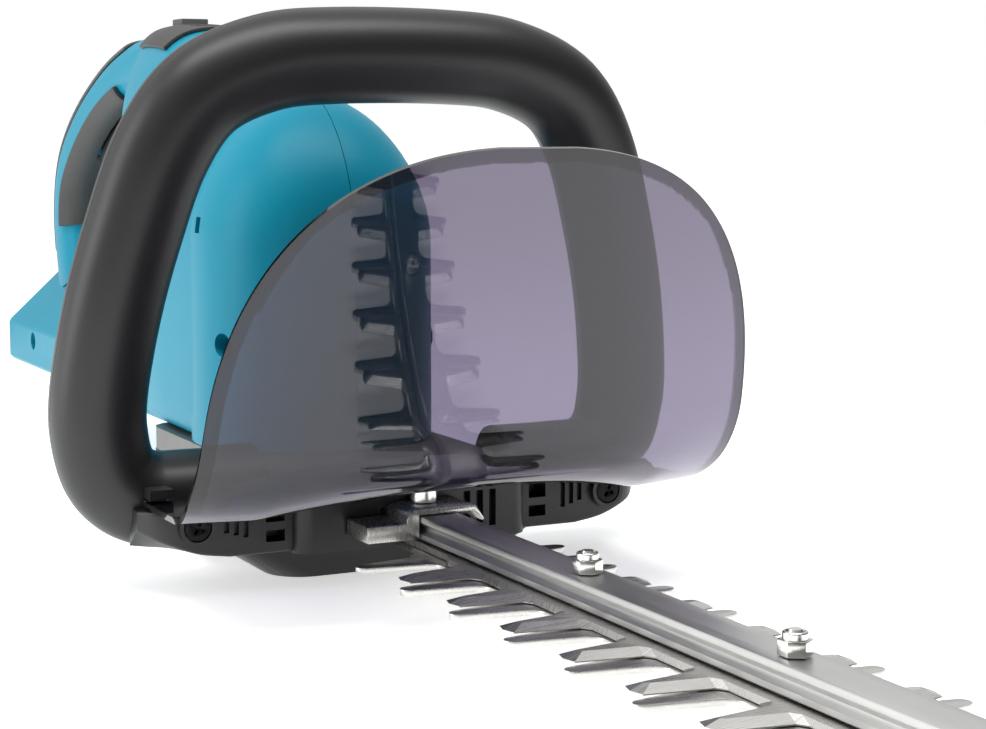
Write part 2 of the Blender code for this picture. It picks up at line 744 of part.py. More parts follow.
def make_fan(low, y):
    """Cooling fan: a disc with straight vanes, pressed on the motor shaft."""
    fan = rod("motor_fan", 24 * MM, (0, y, low), (0, y, low + 1.6 * MM), black(), 24)
    hub = rod("fan_hub", 6 * MM, (0, y, low + MM), (0, y, low + 7 * MM), None, 16)
    join(fan, hub)
    vanes = 8
    for n in range(vanes):
        vane = slab(f"fan_vane_{n}", (5 * MM, -0.7 * MM, low + MM), (23 * MM, 0.7 * MM, low + 7 * MM))
        vane.rotation_euler = (0, 0, 2 * math.pi * n / vanes)
        vane.location = (0, y, 0)
        join(fan, vane)
    bore = rod("fan_bore", MOTOR_SHAFT_RADIUS + GAP, (0, y, low - MM), (0, y, low + 9 * MM), None, 16)
    return cut(fan, bore)


def make_gear_case():
    """Alloy case: the plate between housing and under cover, with the gear chamber below it."""
    half = CASE_HALF
    low, high = CASE_LOW_Z, HOUSING_BOTTOM_Z - GAP
    outline = rounded_box((-half, CASE_FRONT_Y), (half, BASE_REAR_Y), 12 * MM)
    case = plate("gear_case", outline, low, high, cast_alloy())
    chamber = 4.0 * MM
    gear_room = GEAR_PITCH_RADIUS + GEAR_MODULE + 1.2 * MM
    pinion_room = PINION_PITCH_RADIUS + GEAR_MODULE + 1.2 * MM
    wall_low = UPPER_BLADE_Z + BLADE_THICK + 1.2 * MM
    boss = rod("gear_boss", gear_room + chamber, (0, 0, wall_low), (0, 0, low + MM), None, 28)
    nose = rod("pinion_boss", pinion_room + chamber, (0, MOTOR_Y, wall_low), (0, MOTOR_Y, low + MM), None, 20)
    join(case, boss, nose)
    posts = [(sx * CASE_POST_X, y) for sx in (-1, 1) for y in (-6.0 * MM, 46.0 * MM)]
    for index, (x, y) in enumerate(posts):
        join(case, rod(f"case_post_{index}", CASE_POST_RADIUS, (x, y, 10.6 * MM), (x, y, low + MM), None, 12))
    ceiling = GEAR_Z + GEAR_FACE + 1.2 * MM
    gear_pocket = rod("gear_pocket", gear_room, (0, 0, wall_low - MM), (0, 0, ceiling), None, 28)
    pinion_ends = ((0, MOTOR_Y, wall_low - MM), (0, MOTOR_Y, high + MM))
    pinion_pocket = rod("pinion_pocket", pinion_room, *pinion_ends, None, 20)
    seat = rod(
        "upper_bearing_seat",
        BEARING_OUTER + GAP,
        (0, 0, ceiling - MM),
        (0, 0, BEARING_TOP_Z + BEARING_WIDTH + GAP),
        None,
        24,
    )
    return cut(case, gear_pocket, pinion_pocket, seat)


def make_case_plate():
    """Steel plate under the blades; it carries the crank's lower bearing."""
    outline = rounded_box((-43.5 * MM + WALL, -38.0 * MM), (43.5 * MM - WALL, 56.0 * MM), 8 * MM)
    low, high = 3.4 * MM, 10.2 * MM
    lid = plate("gear_case_plate", outline, low + 4.2 * MM, high, steel())
    boss = rod("plate_boss", BEARING_OUTER + 3 * MM, (0, 0, low), (0, 0, high - MM), None, 24)
    join(lid, boss)
    seat = rod("lower_bearing_seat", BEARING_OUTER + GAP, (0, 0, low + 0.9 * MM), (0, 0, high + MM), None, 24)
    return cut(lid, seat)


# ---------------------------------------------------------------- under cover
def tray_rings(inset, low, high):
    """Lower tray between two heights: narrow flat bottom with sloping sides."""
    rings = []
    for z in (low, high):
        share = z / BASE_SHOULDER_Z
        half = BASE_HALF + (BASE_SHOULDER_HALF - BASE_HALF) * share - inset
        pull = 3.0 * MM * (1 - share) + inset
        plan = rounded_box((-half, BASE_FRONT_Y + pull), (half, BASE_REAR_Y - pull), 14 * MM, 3)
        rings.append([(x, y, z) for x, y in plan])
    return rings


def make_under_cover():
    """Black tray below the gear case; the tool stands on its flat bottom."""
    cover = loft("under_cover", tray_rings(0.0, 0.0, BASE_SHOULDER_Z), black())
    wall_half = CASE_HALF
    wall_front = PLINTH_REAR_Y + GAP
    outer = rounded_box((-wall_half, wall_front), (wall_half, BASE_REAR_Y), 12 * MM)
    join(cover, plate("tray_wall", outer, BASE_SHOULDER_Z - MM, CASE_LOW_Z - GAP))
    inner = wall_half - WALL
    room = rounded_box((-inner, BASE_FRONT_Y + 2 * WALL), (inner, BASE_REAR_Y - 1.6 * WALL), 10 * MM)
    cut(cover, loft("tray_room", tray_rings(1.2 * WALL, WALL, BASE_SHOULDER_Z - WALL)))
    cut(cover, plate("wall_room", room, BASE_SHOULDER_Z - 2 * WALL, 30.0 * MM))
    cut(cover, slab("wall_mouth", (-inner, -60 * MM, BASE_SHOULDER_Z - GAP), (inner, -20 * MM, 30 * MM)))
    return cover


# ---------------------------------------------------------------- housing
def barrel_rings(inset):
    """Motor barrel and its dome, cut level by level."""
    rings = []
    low = HOUSING_BOTTOM_Z + (-5 * MM if inset else 0)
    levels = [(low, 1.0), (DOME_START_Z, 1.0)]
    power = 1.8
    for share in (0.30, 0.52, 0.70, 0.84, 0.93, 0.985):
        radius = (1 - share**power) ** (1 / power)
        levels.append((DOME_START_Z + share * (DOME_HEIGHT - inset), radius))
    for z, share in levels:
        half = (BARREL_RADIUS - inset) * share
        rings.append([(x, y + BARREL_Y, z) for x, y in oval(half, half, 2.25, BARREL_SIDES)])
    return rings


# y, half width and top of the body behind the barrel
BODY_STATIONS = (
    (BARREL_Y, 44.6 * MM, 156.0 * MM),
    (62.0 * MM, 44.6 * MM, 172.0 * MM),
    (92.0 * MM, 44.0 * MM, 186.5 * MM),
    (124.0 * MM, 41.0 * MM, 195.0 * MM),
    (155.0 * MM, 36.0 * MM, RIDGE_Z),
    (178.0 * MM, 31.0 * MM, RIDGE_Z),
    (BODY_REAR_Y, 27.0 * MM, RIDGE_Z - 2.0 * MM),
)
BODY_TOP_POWER = 2.8
BODY_BASE_POWER = 14.0  # nearly square below
GRIP_POWER = 2.6


def body_ring(station, inset, angles):
    """Points round the body at one station, angles in radians from +X."""
    y, half, top = station
    middle = (HOUSING_BOTTOM_Z + top) / 2
    tall = (top - HOUSING_BOTTOM_Z) / 2 - inset
    points = []
    for angle in angles:
        power = BODY_BASE_POWER if math.sin(angle) < -1e-6 else BODY_TOP_POWER
        x, z = superellipse(half - inset, tall, power, angle)
        points.append((x, y, middle + z))
    return points


def body_rings(inset):
    """Body behind the barrel, rising to the ridge and ending at the handle's opening."""
    angles = full_turn(BODY_SIDES)
    rings = [body_ring(station, inset, angles) for station in BODY_STATIONS[:-1]]
    y, half, top = BODY_STATIONS[-1]
    rings.append(body_ring((y - inset, half, top), inset, angles))
    return rings


# y, z and half thickness of the rear handle's arch, front to back and down
GRIP_KNOTS = (
    (160.0 * MM, 181.0 * MM, 14.5 * MM),
    (200.0 * MM, 182.5 * MM, 13.0 * MM),
    (236.0 * MM, 176.5 * MM, 13.0 * MM),
    (270.0 * MM, 165.5 * MM, 13.5 * MM),
    (301.5 * MM, 150.0 * MM, 15.5 * MM),
    (325.0 * MM, 132.0 * MM, 17.5 * MM),
    (333.5 * MM, 113.0 * MM, 18.5 * MM),
    (332.0 * MM, 94.0 * MM, 19.0 * MM),
    (326.0 * MM, 74.0 * MM, 20.0 * MM),
)


def grip_frames():
    """Centre, outward direction and half thickness along the handle's arch."""
    path = smooth_path(GRIP_KNOTS, 2)
    frames = []
    for i, here in enumerate(path):
        before, after = path[max(i - 1, 0)], path[min(i + 1, len(path) - 1)]
        along = Vector((after[0] - before[0], after[1] - before[1])).normalized()
        frames.append((Vector((here[0], here[1])), Vector((-along[1], along[0])), here[2]))
    return frames


def grip_ring(frame, inset, angles):
    centre, out, thick = frame
    ring = []
    for angle in angles:
        a, b = superellipse(GRIP_HALF - inset, thick - inset, GRIP_POWER, angle)
        spot = centre + out * b
        ring.append((a, spot[0], spot[1]))
    return ring


def foot_rings(inset):
    """Lower arm and battery foot: upright sides that lean in to the handle's width."""
    w, neck = FOOT_HALF - inset, FOOT_TOP_HALF - inset
    low, side, top = FOOT_BOTTOM_Z + inset, FOOT_SIDE_TOP_Z, FOOT_TOP_Z - inset
    r = 2.0 * MM
    right = [(w - r, low), (w, low + r), (w, side - 2 * MM), (w - MM, side), (neck, top - r), (neck - r, top)]
    section = right + [(-x, z) for x, z in reversed(right)]
    return [[(x, y, z) for x, z in section] for y in (FOOT_FRONT_Y, FOOT_REAR_Y - inset)]


def housing_solid(name, inset, material=None):
    solid = loft(name, barrel_rings(inset), material)
    grip = [grip_ring(frame, inset, full_turn(GRIP_SIDES)) for frame in grip_frames()]
    for part, rings in (("body", body_rings(inset)), ("grip", grip), ("foot", foot_rings(inset))):
        join(solid, loft(f"{name}_{part}", rings))
    return solid


def screw_bosses(name, side):
    """Pillars that the housing screws run through, reaching the middle plane."""
    pillars = []
    for index, (y, z, half) in enumerate(HOUSING_SCREWS):
        ends = ((-side * 2 * MM, y, z), (side * (half - 1.2 * MM), y, z))
        pillars.append(rod(f"{name}_boss_{index}", 5.2 * MM, *ends, sides=10))
    return pillars


def half_shell(name, material):
    """The left clamshell's bare shell, with its pillars."""
    shell = housing_solid(name, 0.0)
    cut(shell, housing_solid(f"{name}_room", WALL))
    join(shell, *screw_bosses(name, -1))
    join(shell, *slide_walls(name))
    big = 500 * MM
    keep_inside(shell, slab(f"{name}_half", (-90 * MM, -big, 0), (-0.5 * GAP, big, big)))
    return baked(shell, material)


def slide_walls(name):
    """Ceiling and side walls of the battery slide, inside the foot."""
    top = FOOT_BOTTOM_Z + SLIDE_DEPTH
    half = SLIDE_HALF + WALL
    low = (-half, SLIDE_FRONT_Y - WALL, FOOT_BOTTOM_Z + MM)
    return [slab(f"{name}_slide_box", low, (half, FOOT_REAR_Y - MM, top + WALL))]


def slide_cutters(name):
    """The slide itself, with a groove along each side that the battery's rails run in."""
    top = FOOT_BOTTOM_Z + SLIDE_DEPTH
    far = FOOT_REAR_Y + 9 * MM
    lip = 4.0 * MM
    throat = slab(f"{name}_throat", (-SLIDE_HALF + lip, SLIDE_FRONT_Y, 0), (SLIDE_HALF - lip, far, top))
    groove_low = (-SLIDE_HALF, SLIDE_FRONT_Y, FOOT_BOTTOM_Z + 4 * MM)
    groove = slab(f"{name}_groove", groove_low, (SLIDE_HALF, far, top - 0.2 * MM))
    return throat, groove


def make_housing():
    """Two clamshells that meet on the middle plane, and the screws that hold them."""
    left = half_shell("housing_left", teal())
    right = mirrored_copy("housing_right", left)
    for side, word, shell in ((-1, "left", left), (1, "right", right)):
        name = f"housing_{word}"
        cut(shell, *slide_cutters(name))
        cut(shell, side_prism(f"{name}_trigger_slot", TRIGGER_SLOT, TRIGGER_SLOT_HALF))
        cut(shell, slab(f"{name}_button_slot", *grown(LOCK_OFF_BOX, GAP)))
        cut(shell, trigger_pin_hole(f"{name}_pin_hole"))
        for index, (y, z, half) in enumerate(HOUSING_SCREWS):
            deep = SCREW_SINK + 2 * GAP
            shank = rod(f"{name}_pilot_{index}", 2.3 * MM, (0, y, z), (side * (half - 4 * MM), y, z), None, 8)
            cut(shell, shank)
            if side < 0:
                ends = ((-half - 3 * MM, y, z), (-half + deep, y, z))
                cut(shell, rod(f"{name}_sink_{index}", 4.35 * MM, *ends, sides=12))
    for index, (y, z, half) in enumerate(HOUSING_SCREWS, 1):
        seat = -half + SCREW_SINK
        head = rod(f"housing_screw_{index}", 3.8 * MM, (seat - 2.4 * MM, y, z), (seat, y, z), zinc(), 16)
        join(head, rod(f"housing_shank_{index}", 2.0 * MM, (seat - MM, y, z), (20 * MM, y, z), None, 12))


def grown(box, margin):
    """A box's corners moved out by a margin."""
    low, high = (Vector(corner) for corner in box)
    step = Vector((margin, margin, margin))
    return low - step, high + step


def side_prism(name, outline, half, material=None):
    """A piece drawn in side view (y, z) and given a width in X."""
    rings = [[(x, y, z) for y, z in outline] for x in (-half, half)]
    return loft(name, rings, material)


def layer_rings(ring_at, stations, inner, outer, start, end, steps):
    """Closed strip sections between two offsets of a surface, over part of its turn."""
    sweep = [math.radians(start + (end - start) * i / steps) for i in range(steps + 1)]
    back = list(reversed(sweep))
    return [ring_at(station, -outer, sweep) + ring_at(station, -inner, back) for station in stations]


def make_grip_covers():
    """Soft covers: one on the handle's back, one lining its opening."""
    frames = grip_frames()
    backs = layer_rings(grip_ring, frames[3:15], GAP, 1.6 * MM, 40, 140, 6)
    loft("grip_pad", backs, rubber())
    inners = layer_rings(grip_ring, frames[2:14], GAP, 2.2 * MM, 165, 375, 10)
    lining = loft("grip_lining", inners, rubber())
    cut(lining, side_prism("lining_trigger_slot", TRIGGER_SLOT, TRIGGER_SLOT_HALF))
    panel = layer_rings(body_ring, BODY_STATIONS[3:6], GAP, 1.5 * MM, 52, 128, 8)
    cover = loft("top_panel", panel, rubber())
    for index in range(4):
        y = 134 * MM + index * 7 * MM
        cut(cover, slab(f"panel_slot_{index}", (-9 * MM, y, 180 * MM), (9 * MM, y + 3 * MM, 210 * MM)))
    cut(cover, slab("panel_button_slot", *grown(LOCK_OFF_BOX, GAP)))


def trigger_pin_hole(name):
    y, z = TRIGGER_PIVOT
    reach = TRIGGER_PIN_REACH + GAP
    return rod(name, TRIGGER_PIN_RADIUS + GAP, (-reach, y, z), (reach, y, z), None, 12)


# ---------------------------------------------------------------- controls
def make_controls():
    """Trigger, its pin and switch, and the lock-off button."""
    trigger = side_prism("trigger", TRIGGER_OUTLINE, TRIGGER_HALF, black())
    y, z = TRIGGER_PIVOT
    cut(trigger, trigger_pin_hole("trigger_bore"))
    reach = TRIGGER_PIN_REACH
    rod("trigger_pin", TRIGGER_PIN_RADIUS, (-reach, y, z), (reach, y, z), steel(), 12)
    slab("trigger_switch", *TRIGGER_SWITCH_BOX, black())
    button = slab("lock_off_button", *LOCK_OFF_BOX, rubber())
    round_edges(button, 1.2 * MM, 2)
    slab("controller", *CONTROLLER_BOX, black())


def make_terminals():
    """Battery terminal block at the slide's front end, and its three contact blades."""
    top = FOOT_BOTTOM_Z + SLIDE_DEPTH
    block_end = SLIDE_FRONT_Y + TERMINAL_DEPTH
    low = (-TERMINAL_HALF, SLIDE_FRONT_Y + MM, FOOT_BOTTOM_Z + MM)
    slab("terminal_block", low, (TERMINAL_HALF, block_end, top - GAP), black())
    for index, x in enumerate((-CONTACT_PITCH, 0.0, CONTACT_PITCH), 1):
        low = (x - CONTACT_THICK / 2, block_end + GAP, FOOT_BOTTOM_Z + 2.5 * MM)
        high = (x + CONTACT_THICK / 2, block_end + CONTACT_LENGTH, top - 1.5 * MM)
        slab(f"battery_contact_{index}", low, high, copper())


# ---------------------------------------------------------------- loop handle
def loop_axes():
    """Up along the loop's plane, and the plane's normal towards the blades."""
    up = Vector((0, -math.sin(LOOP_LEAN), math.cos(LOOP_LEAN)))
    front = Vector((0, -math.cos(LOOP_LEAN), -math.sin(LOOP_LEAN)))
    return up, front


def loop_point(x, z, forward=0.0):
    return Vector((x, LOOP_FOOT_Y - z * math.tan(LOOP_LEAN) - forward, z))


# x, z and how far forward of the loop's plane, up the right-hand side
LOOP_KNOTS = (
    (LOOP_GATE, LOOP_BOTTOM_Z, 5.0 * MM),
    (70.0 * MM, LOOP_BOTTOM_Z, 5.0 * MM),
    (86.5 * MM, 30.0 * MM, 4.5 * MM),
    (97.0 * MM, 37.8 * MM, 3.0 * MM),
    (101.2 * MM, 51.5 * MM, 1.0 * MM),
    (101.3 * MM, 68.0 * MM, 0.0),
    (97.1 * MM, 95.0 * MM, 0.0),
    (90.2 * MM, 122.0 * MM, 0.0),
    (81.2 * MM, 148.0 * MM, 0.0),
    (67.6 * MM, 167.0 * MM, 0.0),
    (45.5 * MM, 177.0 * MM, 0.0),
    (20.0 * MM, LOOP_TOP_Z, 0.0),
)


def loop_path():
    """Centreline from the left foot over the top to the right foot."""
    knots = [loop_point(-x, z, forward) for x, z, forward in LOOP_KNOTS]
    knots += [loop_point(x, z, forward) for x, z, forward in reversed(LOOP_KNOTS)]
    return smooth_path(knots, LOOP_STEPS)


def loop_half(name, side, material):
    """One moulded half: a C-shaped channel swept along the loop."""
    up, front = loop_axes()
    path = loop_path()
    facing = front * side
    outer = [math.pi * i / LOOP_SIDES for i in range(LOOP_SIDES + 1)]
    inner = [math.pi * i / LOOP_SIDES for i in range(LOOP_SIDES, -1, -1)]
    rings = []
    for i, here in enumerate(path):
        along = (path[min(i + 1, len(path) - 1)] - path[max(i - 1, 0)]).normalized()
        across = along.cross(front)
        section = [(LOOP_RADIUS, a) for a in outer] + [(LOOP_RADIUS - LOOP_WALL, a) for a in inner]
        base = here + facing * 0.5 * GAP
        rings.append([base + across * (r * math.cos(a)) + facing * (r * math.sin(a)) for r, a in section])
    return loft(name, rings, material)


# x, front face, underside and top of the foot towards its rounded ends
PLINTH_STATIONS = (
    (66.0 * MM, -60.0 * MM, 12.6 * MM, 29.8 * MM),
    (76.0 * MM, -60.0 * MM, 14.2 * MM, 29.8 * MM),
    (84.0 * MM, -59.5 * MM, 17.0 * MM, 29.8 * MM),
    (90.0 * MM, -57.0 * MM, 19.5 * MM, 29.5 * MM),
    (95.0 * MM, -50.5 * MM, 22.0 * MM, 29.0 * MM),
)


def plinth_rings():
    """Foot's sections (y, z) from the left end to the right end."""
    stations = [(-x, *rest) for x, *rest in reversed(PLINTH_STATIONS)] + list(PLINTH_STATIONS)
    rings = []
    for x, front, low, high in stations:
        r = min(1.2 * MM, (high - low) / 4)
        back = 0.35 * low + 0.65 * PLINTH_STATIONS[0][2]
        section = [(PLINTH_REAR_Y, back), (front + r, low), (front, low + r), (front, high - r)]
        section += [(front + r, high), (PLINTH_REAR_Y, high)]
        rings.append([(x, y, z) for y, z in section])
    return rings


def loop_core(name):
    """Everything inside the rear half's outer skin, behind the split."""
    _, front = loop_axes()
    path = loop_path()
    turns = [math.pi * i / LOOP_SIDES for i in range(LOOP_SIDES + 1)]
    rings = []
    for i, here in enumerate(path):
        along = (path[min(i + 1, len(path) - 1)] - path[max(i - 1, 0)]).normalized()
        across = along.cross(front)
        base = here - front * 0.5 * GAP
        r = LOOP_RADIUS - 0.5 * LOOP_WALL
        rings.append([base + across * (r * math.cos(a)) - front * (r * math.sin(a)) for a in turns])
    return loft(name, rings)


def nose_outline():
    """Plan of the bulge in the middle of the foot."""
    front = PLINTH_FRONT_Y
    right = [
        (NOSE_HALF, CASE_FRONT_Y - 2 * GAP),
        (NOSE_HALF, front - MM),
        (NOSE_HALF - 2 * MM, front - 3.4 * MM),
        (NOSE_HALF - 7 * MM, front - 5 * MM),
    ]
    return right + [(-x, y) for x, y in reversed(right)]


def make_loop_handle():
    """Front half with the foot that carries guard and bar, and the rear half with its screw posts."""
    front_half = loop_half("loop_handle_front", 1, black())
    reach, thick = GUARD_HALF + GAP, GUARD_THICK / 2 + GAP
    low, high = (-reach, GUARD_FOLD_Y, GUARD_FLANGE_Z - thick), (reach, GUARD_REAR_Y + GAP, GUARD_FLANGE_Z + thick)
    cut(front_half, slab("guard_seat", low, high))
    join(front_half, loft("plinth", plinth_rings()))
    join(front_half, plate("plinth_nose", nose_outline(), PLINTH_BOTTOM_Z, NOSE_TOP_Z))
    rear_half = loop_half("loop_handle_rear", -1, black())
    post_end = LOOP_FOOT_Y + LOOP_RADIUS - REAR_POST_INSET
    for side, word in ((-1, "left"), (1, "right")):
        join(front_half, foot_boss(side, word), guard_lug(side, word))
        make_foot_screw(front_half, side, word)
        cut(front_half, *foot_vents(side, word))
        x, z = side * HANDLE_SCREW_X, HANDLE_SCREW_Z
        post = rod(f"rear_post_{word}", 4.6 * MM, (x, SCREW_END_Y - 6 * MM, z), (x, post_end, z), None, 12)
        keep_inside(post, loop_core(f"rear_post_room_{word}"))
        join(rear_half, post)
        pilot = rod(f"rear_pilot_{word}", PILOT_RADIUS, (x, -50 * MM, z), (x, SCREW_END_Y + MM, z), None, 12)
        cut(rear_half, pilot)
    half, rear_y = BAR_PASSAGE_HALF, PLINTH_REAR_Y + 9 * MM
    passage = slab("bar_passage", (-half, -90 * MM, 5 * MM), (half, rear_y, BAR_TOP_Z + GAP))
    half = CASE_HALF + 0.4 * MM
    case_room = slab("case_room", (-half, CASE_FRONT_Y - GAP, 25.7 * MM), (half, 0, 50 * MM))
    cut(front_half, passage, case_room)
    make_front_switch()


def foot_boss(side, word):
    """Round boss that stands a little proud of the foot's front face."""
    x, z = side * HANDLE_SCREW_X, HANDLE_SCREW_Z
    front, rear = PLINTH_FRONT_Y - 2.4 * MM, PLINTH_REAR_Y - MM
    return rod(f"handle_boss_{word}", 5.6 * MM, (x, front, z), (x, rear, z), None, 20)


def guard_lug(side, word):
    """Small tab over the end of the guard's flange."""
    x = side * (HANDLE_SCREW_X + 9.4 * MM)
    low = GUARD_FLANGE_Z + GUARD_THICK / 2 + 2 * GAP
    size = 4 * MM
    return slab(f"guard_lug_{word}", (x - size, -53.3 * MM, low), (x + size, -37 * MM, low + 3.4 * MM))


def make_foot_screw(front_half, side, word):
    """Screw from the foot's front into the rear half's post, with its recess and pilot hole."""
    x, z = side * HANDLE_SCREW_X, HANDLE_SCREW_Z
    seat = PLINTH_FRONT_Y + 0.4 * MM
    recess = rod(f"handle_recess_{word}", 4.9 * MM, (x, seat - 4.4 * MM, z), (x, seat, z), None, 20)
    pilot = rod(f"handle_pilot_{word}", PILOT_RADIUS, (x, seat - MM, z), (x, SCREW_END_Y + MM, z), None, 12)
    cut(front_half, recess, pilot)
    head = rod(f"handle_screw_{word}", 4.4 * MM, (x, seat - 2.6 * MM, z), (x, seat - GAP, z), zinc(), 20)
    join(head, rod(f"handle_shank_{word}", 2.0 * MM, (x, seat - MM, z), (x, SCREW_END_Y, z), None, 12))


def foot_vents(side, word):
    """Two windows, one above the other, in the foot's front face."""
    x, half = side * 50 * MM, 3.4 * MM
    y0, y1 = PLINTH_FRONT_Y - 6 * MM, PLINTH_FRONT_Y + 8 * MM
    levels = ((16.6 * MM, 20.6 * MM), (23.4 * MM, 28.4 * MM))
    return [
        slab(f"foot_vent_{word}_{index}", (x - half, y0, low), (x + half, y1, high))
        for index, (low, high) in enumerate(levels)
    ]


def make_front_switch():
    """Switch in the loop's top bar, and the lever behind it that the fingers squeeze."""
    centre = loop_point(0, LOOP_TOP_Z)
    y, z = centre[1], centre[2]
    sweep = [math.radians(a) for a in range(-38, 39, 19)]
    r0, r1 = LOOP_RADIUS + 0.9 * MM, LOOP_RADIUS + 3.4 * MM
    section = [(r1, a) for a in sweep] + [(r0, a) for a in reversed(sweep)]
    pivot = front_lever_pivot()
    open_angle = FRONT_LEVER_TRAVEL
    outline = []
    for r, a in section:
        py = y + r * math.cos(a) - pivot[0]
        pz = z + r * math.sin(a) - pivot[1]
        ty = py * math.cos(open_angle) - pz * math.sin(open_angle)
        tz = py * math.sin(open_angle) + pz * math.cos(open_angle)
        outline.append((pivot[0] + ty, pivot[1] + tz))
    side_prism("front_switch_lever", outline, FRONT_LEVER_HALF, black())
    low = (-FRONT_SWITCH_HALF, y - 7 * MM, z - 5.5 * MM)
    slab("front_switch", low, (FRONT_SWITCH_HALF, y + 5 * MM, z + 5.5 * MM), black())


def front_lever_pivot():
    """Upper edge of the lever, where it hooks into the rear half."""
    centre = loop_point(0, LOOP_TOP_Z)
    angle = math.radians(38)
    r = LOOP_RADIUS + 2.2 * MM
    return centre[1] + r * math.cos(angle), centre[2] + r * math.sin(angle)


# ---------------------------------------------------------------- guard
def guard_profile(reach):
    """Side view of the guard at its middle, reach 0 at the flange's rear edge and 1 at the apex."""
    flange = GUARD_REAR_Y - GUARD_FOLD_Y
    turn = math.pi / 2 - GUARD_LEAN
    bend = GUARD_BEND * turn
    rise = GUARD_TOP_Z - GUARD_FLANGE_Z - GUARD_BEND * (1 - math.cos(turn))
    run = rise / math.sin(turn)
    s = reach * (flange + bend + run)
    if s <= flange:
        return GUARD_REAR_Y - s, GUARD_FLANGE_Z, s / flange
    if s <= flange + bend:
        t = (s - flange) / GUARD_BEND
        return GUARD_FOLD_Y - GUARD_BEND * math.sin(t), GUARD_FLANGE_Z + GUARD_BEND * (1 - math.cos(t)), 1.0
    rest = s - flange - bend
    y = GUARD_FOLD_Y - GUARD_BEND * math.sin(turn) - rest * math.cos(turn)
    z = GUARD_FLANGE_Z + GUARD_BEND * (1 - math.cos(turn)) + rest * math.sin(turn)
    return y, z, 1.0


def guard_half_width(z):
    """Straight sides below, a boxy round top above."""
    start = GUARD_ROUND_Z
    if z <= start:
        share = (z - GUARD_FLANGE_Z) / (start - GUARD_FLANGE_Z)
        return GUARD_HALF - (GUARD_HALF - GUARD_FLANGE_HALF) * (1 - share) ** 2
    share = min((z - start) / (GUARD_TOP_Z - start), 1.0)
    return GUARD_HALF * max(1 - share**GUARD_POWER, 0.0) ** (1 / GUARD_POWER)


def make_guard():
    """Clear shield: flange on the foot, a fold, and a bowed sheet leaning forward."""
    bm = bmesh.new()
    reaches = [0.0, 0.12, 0.24] + [0.29 + 0.07 * i for i in range(7)]
    reaches += [0.79, 0.86, 0.91, 0.95, 0.98, 0.994]
    columns = 14
    rows = []
    for reach in reaches:
        y, z, bowed = guard_profile(reach)
        half = guard_half_width(z)
        fade = max(0.0, 1 - (z - GUARD_FLANGE_Z) / (GUARD_ROUND_Z - GUARD_FLANGE_Z))
        row = []
        for i in range(columns + 1):
            x = half * math.sin(math.pi / 2 * (2 * i / columns - 1))
            bow = x * x / (2 * GUARD_BOW)
            arch = GUARD_ARCH * max(0.0, 1 - (x / GUARD_ARCH_HALF) ** 2) * fade
            row.append(bm.verts.new((x, y + bow * bowed, z + arch)))
        rows.append(row)
    for low, high in zip(rows, rows[1:]):
        for i in range(columns):
            bm.faces.new((low[i], low[i + 1], high[i + 1], high[i]))
    guard = finish_mesh("guard", bm, smoke())
    step = guard.modifiers.new("thickness", "SOLIDIFY")
    step.thickness = GUARD_THICK
    step.offset = 0.0
    return guard


def main():
    clear_scene()
    make_lower_blade()
    make_upper_blade()
    make_guide_bar()
    make_bar_fasteners()
    make_bracket()
    make_crank()
    make_bearings()
    make_motor()
    make_gear_case()
    make_case_plate()
    make_under_cover()
    make_housing()
    make_grip_covers()
    make_controls()
    make_terminals()
    make_loop_handle()
    make_guard()


main()
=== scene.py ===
"""Looks of the cordless hedge trimmer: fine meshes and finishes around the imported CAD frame.

Metres, +Z up, blades pointing to -Y. Every piece rides on the CAD body that it belongs to.
"""

import json
import math

import bmesh
import bpy
from mathutils import Matrix, Vector

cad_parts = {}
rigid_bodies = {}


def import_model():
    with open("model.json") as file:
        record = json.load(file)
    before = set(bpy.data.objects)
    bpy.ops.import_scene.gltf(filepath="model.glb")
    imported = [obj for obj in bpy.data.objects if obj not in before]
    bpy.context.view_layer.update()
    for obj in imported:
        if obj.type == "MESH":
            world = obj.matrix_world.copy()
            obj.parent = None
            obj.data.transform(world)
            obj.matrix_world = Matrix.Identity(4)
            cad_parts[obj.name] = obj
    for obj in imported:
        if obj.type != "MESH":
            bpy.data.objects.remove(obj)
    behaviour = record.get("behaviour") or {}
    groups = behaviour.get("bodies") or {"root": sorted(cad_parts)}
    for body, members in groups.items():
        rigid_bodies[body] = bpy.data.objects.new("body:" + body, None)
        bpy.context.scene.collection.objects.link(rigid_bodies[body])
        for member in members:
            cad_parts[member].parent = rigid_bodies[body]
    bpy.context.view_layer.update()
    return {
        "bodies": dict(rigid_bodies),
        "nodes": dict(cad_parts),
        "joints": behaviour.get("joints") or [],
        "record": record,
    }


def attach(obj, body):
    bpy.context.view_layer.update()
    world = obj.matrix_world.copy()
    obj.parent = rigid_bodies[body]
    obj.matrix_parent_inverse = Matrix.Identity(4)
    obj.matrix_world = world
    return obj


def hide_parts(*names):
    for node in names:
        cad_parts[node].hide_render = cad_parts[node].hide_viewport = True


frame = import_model()

MM = 0.001

# ---------------------------------------------------------------- driving sizes
GAP = 0.3 * MM  # between pieces that touch
WALL = 2.5 * MM  # moulded shells

# cutting blades
TOOTH_PITCH = 35.0 * MM
TOOTH_COUNT = 15  # long teeth on each side of the lower blade
THROW = TOOTH_PITCH / 4  # each blade travels this far either side of its middle
FIRST_TOOTH_Y = -101.5 * MM  # centre of the rearmost long tooth
BLADE_THICK = 2.0 * MM
LOWER_BLADE_Z = 12.7 * MM  # underside of the lower blade
LONG_TOOTH_REACH = 38.2 * MM
SHORT_TOOTH_REACH = 34.2 * MM
LOWER_SPINE_HALF = 12.6 * MM
UPPER_SPINE_HALF = 11.4 * MM
NECK_HALF = 8.5 * MM
BLADE_NOSE = 30.0 * MM  # from the last tooth's centre to the tip

